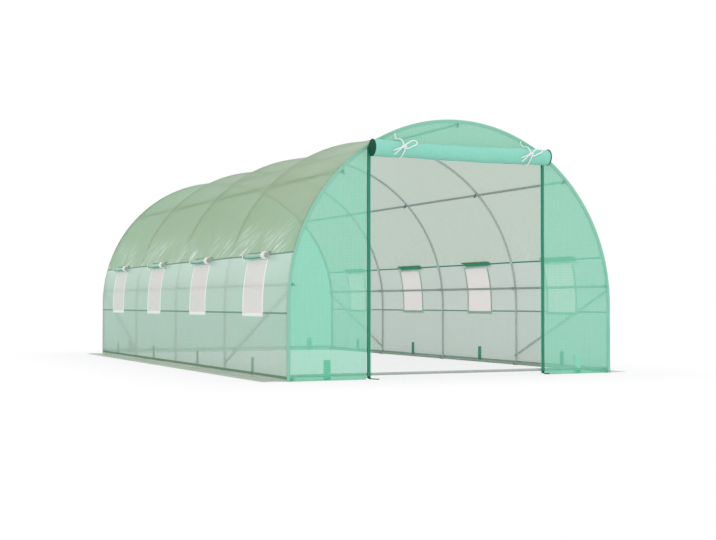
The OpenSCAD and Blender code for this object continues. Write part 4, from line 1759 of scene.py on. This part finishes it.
@dataclass
class Repeats:
    """Small pieces repeated by Geometry Nodes: stitches, zip teeth, hoop ties and bolts."""

    form: Form
    size: tuple[float, float, float]
    spacing: float = 0.03
    jitter: float = 0.12
    seed: int = 5

    def _shape(self, tree: NodeTree, size: NodeSocket) -> NodeSocket:
        """Adds the form itself: its length along X for a stitch, its axis along Z otherwise.

        Args:
            tree: The tree that gets it.
            size: Output that gives its sizes: length, width and height, or radius, nothing and depth.

        Returns:
            The form's geometry.
        """
        if self.form is Form.STITCH:
            return add_node(tree, "GeometryNodeMeshCube", {"Size": size}).outputs[0]
        axes = add_node(tree, "ShaderNodeSeparateXYZ", {0: size})
        sides, fill = (6, "NGON") if self.form is Form.BOLT else (18, "NONE")
        return add_node(tree, "GeometryNodeMeshCylinder", {
            "Vertices": sides, "Radius": axes, "Depth": axes.outputs[2]},
            fill_type=fill).outputs[0]

    def _tree(self) -> NodeTree:
        """Builds the node tree, whose inputs are all named.

        Returns:
            The tree.
        """
        tree = bpy.data.node_groups.new(f"repeat_{self.form.value}", "GeometryNodeTree")
        tree.interface.new_socket("Geometry", in_out="INPUT", socket_type="NodeSocketGeometry")
        for name, kind in (("Size", "Vector"), ("Spacing", "Float"), ("Jitter", "Float"), ("Seed", "Int"),
                           ("Finish", "Material")):
            tree.interface.new_socket(name, in_out="INPUT", socket_type=f"NodeSocket{kind}")
        tree.interface.new_socket("Geometry", in_out="OUTPUT", socket_type="NodeSocketGeometry")
        given = add_node(tree, "NodeGroupInput").outputs
        facing = add_node(tree, "GeometryNodeInputNamedAttribute", {"Name": "facing"},
                          data_type="FLOAT_VECTOR")
        if self.form is Form.STITCH:
            curve = add_node(tree, "GeometryNodeMeshToCurve", {0: given["Geometry"]})
            points = add_node(tree, "GeometryNodeResampleCurve", {
                "Curve": curve, "Length": given["Spacing"]}, mode="LENGTH").outputs[0]
            tangent = add_node(tree, "GeometryNodeInputTangent")
            along = add_node(tree, "FunctionNodeAlignRotationToVector", {"Vector": tangent},
                             axis="X")
            turn = add_node(tree, "FunctionNodeAlignRotationToVector", {
                "Rotation": along, "Vector": facing}, axis="Z", pivot_axis="X")
        else:
            points = add_node(tree, "GeometryNodeMeshToPoints", {0: given["Geometry"]}).outputs[0]
            turn = add_node(tree, "FunctionNodeAlignRotationToVector", {"Vector": facing},
                            axis="Z")
        less = add_node(tree, "ShaderNodeMath", {0: 1.0, 1: given["Jitter"]}, operation="SUBTRACT")
        scale = add_node(tree, "FunctionNodeRandomValue", {
            2: less, 3: 1.0, "Seed": given["Seed"]}, data_type="FLOAT")
        placed = add_node(tree, "GeometryNodeInstanceOnPoints", {
            "Points": points, "Instance": self._shape(tree, given["Size"]), "Rotation": turn,
            "Scale": scale.outputs[1]})
        solid = add_node(tree, "GeometryNodeRealizeInstances", {0: placed})
        done = add_node(tree, "GeometryNodeSetMaterial", {
            "Geometry": solid, "Material": given["Finish"]})
        add_node(tree, "NodeGroupOutput", {0: done})
        return tree

    def build(self, name: str, slot: Slot, lines: Sequence[Points], facings: Sequence[Points],
              finish: Material) -> Object:
        """Builds the repeated pieces as one plain mesh.

        Args:
            name: Name of the piece.
            slot: The record's slot, passed on to settle.
            lines: Points of each line, or single points, as arrays of rows.
            facings: Outward direction, or axis, at each of those points.
            finish: Its material.

        Returns:
            The finished object, settled on the frame.
        """
        starts = np.cumsum([0] + [len(line) for line in lines])
        edges = [(a + i, a + i + 1) for a, line in zip(starts, lines) for i in range(len(line) - 1)]
        mesh = bpy.data.meshes.new(name)
        mesh.from_pydata(np.concatenate(lines).tolist(), edges, [])
        layer = mesh.attributes.new("facing", "FLOAT_VECTOR", "POINT")
        layer.data.foreach_set("vector", np.concatenate(facings).astype(np.float32).ravel())
        piece = new_object(name, mesh)
        modifier = piece.modifiers.new("repeat", "NODES")
        tree = self._tree()
        modifier.node_group = tree
        values = {"Size": self.size, "Spacing": self.spacing, "Jitter": self.jitter, "Seed": self.seed,
                  "Finish": finish}
        for item in tree.interface.items_tree:
            if item.in_out == "INPUT" and item.name in values:
                modifier[item.identifier] = values[item.name]
        graph = bpy.context.evaluated_depsgraph_get()
        plain = bpy.data.meshes.new_from_object(piece.evaluated_get(graph))
        piece.modifiers.clear()
        piece.data = plain
        return settle(piece, slot)


@dataclass
class Details:
    """Stitches along the seams and the painted shadow lines, the zips' teeth, the ties round the hoops and
    the braces' bolts.
    """

    tunnel: Tunnel
    form: CoverForm
    finishes: Finishes
    brace_low: float = 95 * MM
    brace_high: float = 713 * MM
    brace_inset: float = 13.7 * MM
    bolt_sunk: float = 2 * MM
    stitch_off: float = 4 * MM
    line_step: float = 60 * MM

    def build(self, cover: Cover, zips: ZipBindings) -> None:
        """Builds every kind of repeated piece.

        Args:
            cover: The cover, for the lines of its seams and painted shadow lines.
            zips: The zips, for the lines of their coils.
        """
        lines = []
        for q, a, b in cover.seam_and_shadow_lines():
            y = stations([a, b], self.line_step)
            lines += [self.form.at(q + end * self.stitch_off, y, cover.tape_lift) for end in (-1, 1)]
        facings = [joined(line[:, 0], 0.0, np.maximum(0, line[:, 2] - self.tunnel.leg)) for line in lines]
        Repeats(Form.STITCH, (9 * MM, 2.2 * MM, 1.2 * MM), spacing=24 * MM).build(
            "seam_stitches", Slot.SIDE, lines, facings, self.finishes.thread)
        coils = zips.coil_lines()
        front = [np.tile([0.0, -1.0, 0.0], (len(line), 1)) for line in coils]
        Repeats(Form.STITCH, (3.4 * MM, 9 * MM, 2.6 * MM), spacing=6 * MM, jitter=0.05).build(
            "zip_coils", Slot.BINDING, coils, front, self.finishes.coil)
        self._ties()
        self._bolts()

    def _ties(self) -> None:
        """Builds the white tapes that tie the cover's seam to each hoop."""
        t = self.tunnel
        rise = t.seam_high - t.leg
        out = math.sqrt(t.hoop_radius**2 - rise**2)
        at = np.array([(side.value * out, y, t.seam_high) for side in Side for y in t.hoops])
        axis = np.array([(-side.value * rise, 0.0, out) for side in Side for _ in t.hoops])
        Repeats(Form.BAND, (t.tube / 2 + 1.1 * MM, 0.0, 17 * MM), jitter=0.02).build(
            "hoop_ties", Slot.NETTING, [at[i:i + 1] for i in range(len(at))],
            [axis[i:i + 1] for i in range(len(at))], self.finishes.white)

    def _bolts(self) -> None:
        """Builds the bolt heads on the inner side of each brace's flattened ends."""
        t = self.tunnel
        r = t.hoop_radius - self.brace_inset
        rise = self.brace_high - t.leg
        high = math.sqrt(r**2 - rise**2)
        at, axis = [], []
        for side in Side:
            for y in (t.hoops[1], t.hoops[3]):
                at.append((side.value * (r - self.bolt_sunk), y, self.brace_low))
                axis.append((-side.value, 0.0, 0.0))
            for y in (t.hoops[0], t.hoops[4]):
                at.append((side.value * (high - self.bolt_sunk), y, self.brace_high))
                axis.append((-side.value * high, 0.0, -rise))
        Repeats(Form.BOLT, (7.5 * MM, 0.0, 7 * MM), jitter=0.0).build(
            "brace_bolts", Slot.TUBE, [np.array([p]) for p in at], [np.array([v]) for v in axis],
            self.finishes.rail_steel)


@dataclass
class Studio:
    """Floor, lamps, backdrop and camera."""

    lens: float = 62.564
    place: tuple[float, float, float] = (-5.1141, -11.8989, 0.6094)
    turn: tuple[float, float, float] = (91.5257, 0.0, -25.0629)
    floor_size: float = 120.0
    near_glow: float = 0.72
    fade_from: float = 0.15
    fade_to: float = 1.3
    world_light: float = 0.95

    def build(self) -> None:
        """Builds everything that isn't part of the object."""
        self._camera()
        self._floor()
        self._world()
        self._lamps()
        bpy.context.scene.view_settings.view_transform = "Standard"

    def _camera(self) -> None:
        """Sets the camera where the photograph was taken from."""
        data = bpy.data.cameras.new("camera")
        data.lens = self.lens
        data.sensor_width = 36.0
        data.clip_end = 300.0
        camera = new_object("camera", data)
        camera.location = self.place
        camera.rotation_euler = [math.radians(a) for a in self.turn]
        bpy.context.scene.camera = camera

    def _floor(self) -> None:
        """Makes a plain white floor that keeps the object's shadow."""
        material, tree = new_material("white_studio_floor")
        path = add_node(tree, "ShaderNodeLightPath")
        glow = add_node(tree, "ShaderNodeEmission", {"Strength": 1.0})
        paint = add_node(tree, "ShaderNodeBsdfDiffuse", {"Color": linear("#F4F5F5")})
        place = add_node(tree, "ShaderNodeTexCoord")
        apart = add_node(tree, "ShaderNodeVectorMath", {0: place.outputs["Object"]}, operation="ABSOLUTE")
        outside = add_node(tree, "ShaderNodeVectorMath", {
            0: apart, 1: (CAD_BOX[1][0], CAD_BOX[1][1], 0.0)}, operation="SUBTRACT")
        outside = add_node(tree, "ShaderNodeVectorMath", {
            0: outside, 1: (0.0, 0.0, 0.0)}, operation="MAXIMUM")
        away = add_node(tree, "ShaderNodeVectorMath", {0: outside}, operation="LENGTH")
        share = add_node(tree, "ShaderNodeMapRange", {
            "Value": away.outputs["Value"], "From Min": self.fade_from, "From Max": self.fade_to,
            "To Min": self.near_glow, "To Max": 1.0}, interpolation_type="SMOOTHSTEP")
        shown = add_node(tree, "ShaderNodeMixShader", {
            0: share, 1: paint, 2: glow})
        seen = add_node(tree, "ShaderNodeMixShader", {
            0: path.outputs["Is Camera Ray"], 1: paint, 2: shown})
        add_node(tree, "ShaderNodeOutputMaterial", {"Surface": seen})
        half = self.floor_size / 2
        corners = half * np.array([(-1.0, -1.0, 0.0), (1.0, -1.0, 0.0), (1.0, 1.0, 0.0), (-1.0, 1.0, 0.0)])
        draft = MeshDraft()
        draft.add(corners, corners[:, :2], [(0, 1, 2, 3)])
        draft.build("studio_floor", [material])

    def _world(self) -> None:
        """Makes an even grey light that looks white where it is seen."""
        world = bpy.data.worlds.new("studio")
        world.use_nodes = True
        tree = world.node_tree
        tree.nodes.clear()
        path = add_node(tree, "ShaderNodeLightPath")
        seen = add_node(tree, "ShaderNodeMath", {
            0: path.outputs["Is Camera Ray"], 1: path.outputs["Is Glossy Ray"]}, operation="MAXIMUM")
        seen = add_node(tree, "ShaderNodeMath", {
            0: seen, 1: path.outputs["Is Transmission Ray"]}, operation="MAXIMUM")
        light = add_node(tree, "ShaderNodeBackground", {"Color": (1, 1, 1, 1), "Strength": self.world_light})
        white = add_node(tree, "ShaderNodeBackground", {"Color": (1, 1, 1, 1), "Strength": 1.0})
        mix = add_node(tree, "ShaderNodeMixShader", {
            0: seen, 1: light, 2: white})
        add_node(tree, "ShaderNodeOutputWorld", {"Surface": mix})
        bpy.context.scene.world = world

    def _lamps(self) -> None:
        """Sets large soft lamps in front, on both sides, and low behind for the gloss of the creases."""
        for name, place, aim, size, power in (
            ("key", (-6.0, -12.0, 4.0), (0, -1, 0.9), 6.0, 80.0),
            ("side", (-9.5, 1.5, 2.5), (-1.5, 0.5, 0.7), 5.0, 12.0),
            ("fill", (8.5, -5.0, 6.5), (0, 0, 1.2), 6.0, 110.0),
            ("rim", (-5.5, 13.0, 4.5), (-1.4, 0.0, 1.2), 4.0, 80.0),
        ):
            data = bpy.data.lights.new(name, "AREA")
            data.size = size
            data.energy = power
            lamp = new_object(name, data)
            lamp.location = place
            away = np.array(place) - np.array(aim)
            flat = math.hypot(away[0], away[1])
            lamp.rotation_euler = (math.atan2(flat, away[2]), 0.0, math.atan2(away[0], -away[1]))


def dress_frame(finishes: Finishes) -> None:
    """Gives the steel frame and its clips their finishes; purlins and rails take a darker grey steel, and the
    left ground rail a much darker one, painted shade for the shadow it lies in.

    Args:
        finishes: The object's materials.
    """
    slots = {row["node"]: row["material_slot"] for row in frame["record"]["subparts"]}
    for name, node in frame["nodes"].items():
        if slots[name] in (Slot.TUBE.value, Slot.CLIP.value):
            steel = finishes.rail_steel if "purlin" in name or "rail" in name else finishes.steel
            # The left ground rail is painted dark: painted shade where it lies in shadow at the ground
            steel = finishes.shade_painted_steel if name == "left_ground_rail" else steel
            node.data.materials.clear()
            clip = finishes.pale_plastic if name in ("side_clips", "foot_clips") else finishes.plastic
            node.data.materials.append(steel if slots[name] == Slot.TUBE.value else clip)


def main() -> None:
    """Builds the object and its studio, piece by piece."""
    logging.basicConfig(level=logging.INFO, format="%(name)s %(message)s")
    tunnel = Tunnel.from_frame()
    form = CoverForm(tunnel)
    finishes = Finishes(form.down_to(tunnel.seam_high))
    Studio().build()
    dress_frame(finishes)
    cover = Cover(tunnel, form, finishes)
    sheet = cover.build_sheet()
    seams = cover.build_seams()
    borders = cover.build_borders()
    cover.build_inner_shades()
    for side in Side:
        netting = cover.build_netting(side)
        rolls = WindowRolls(tunnel, finishes, side)
        rolls.build()
        rolls.build_straps()
    ends = EndPanels(tunnel, finishes)
    front = ends.build_front()
    rear = ends.build_rear()
    bindings = ends.build_bindings()
    zips = ZipBindings(tunnel, finishes)
    zip_piece = zips.build()
    DoorRoll(tunnel, finishes).build()
    AnchorStraps(tunnel, finishes).build()
    TieCords(finishes).build()
    Details(tunnel, form, finishes).build(cover, zips)


if __name__ == "__main__":
    main()
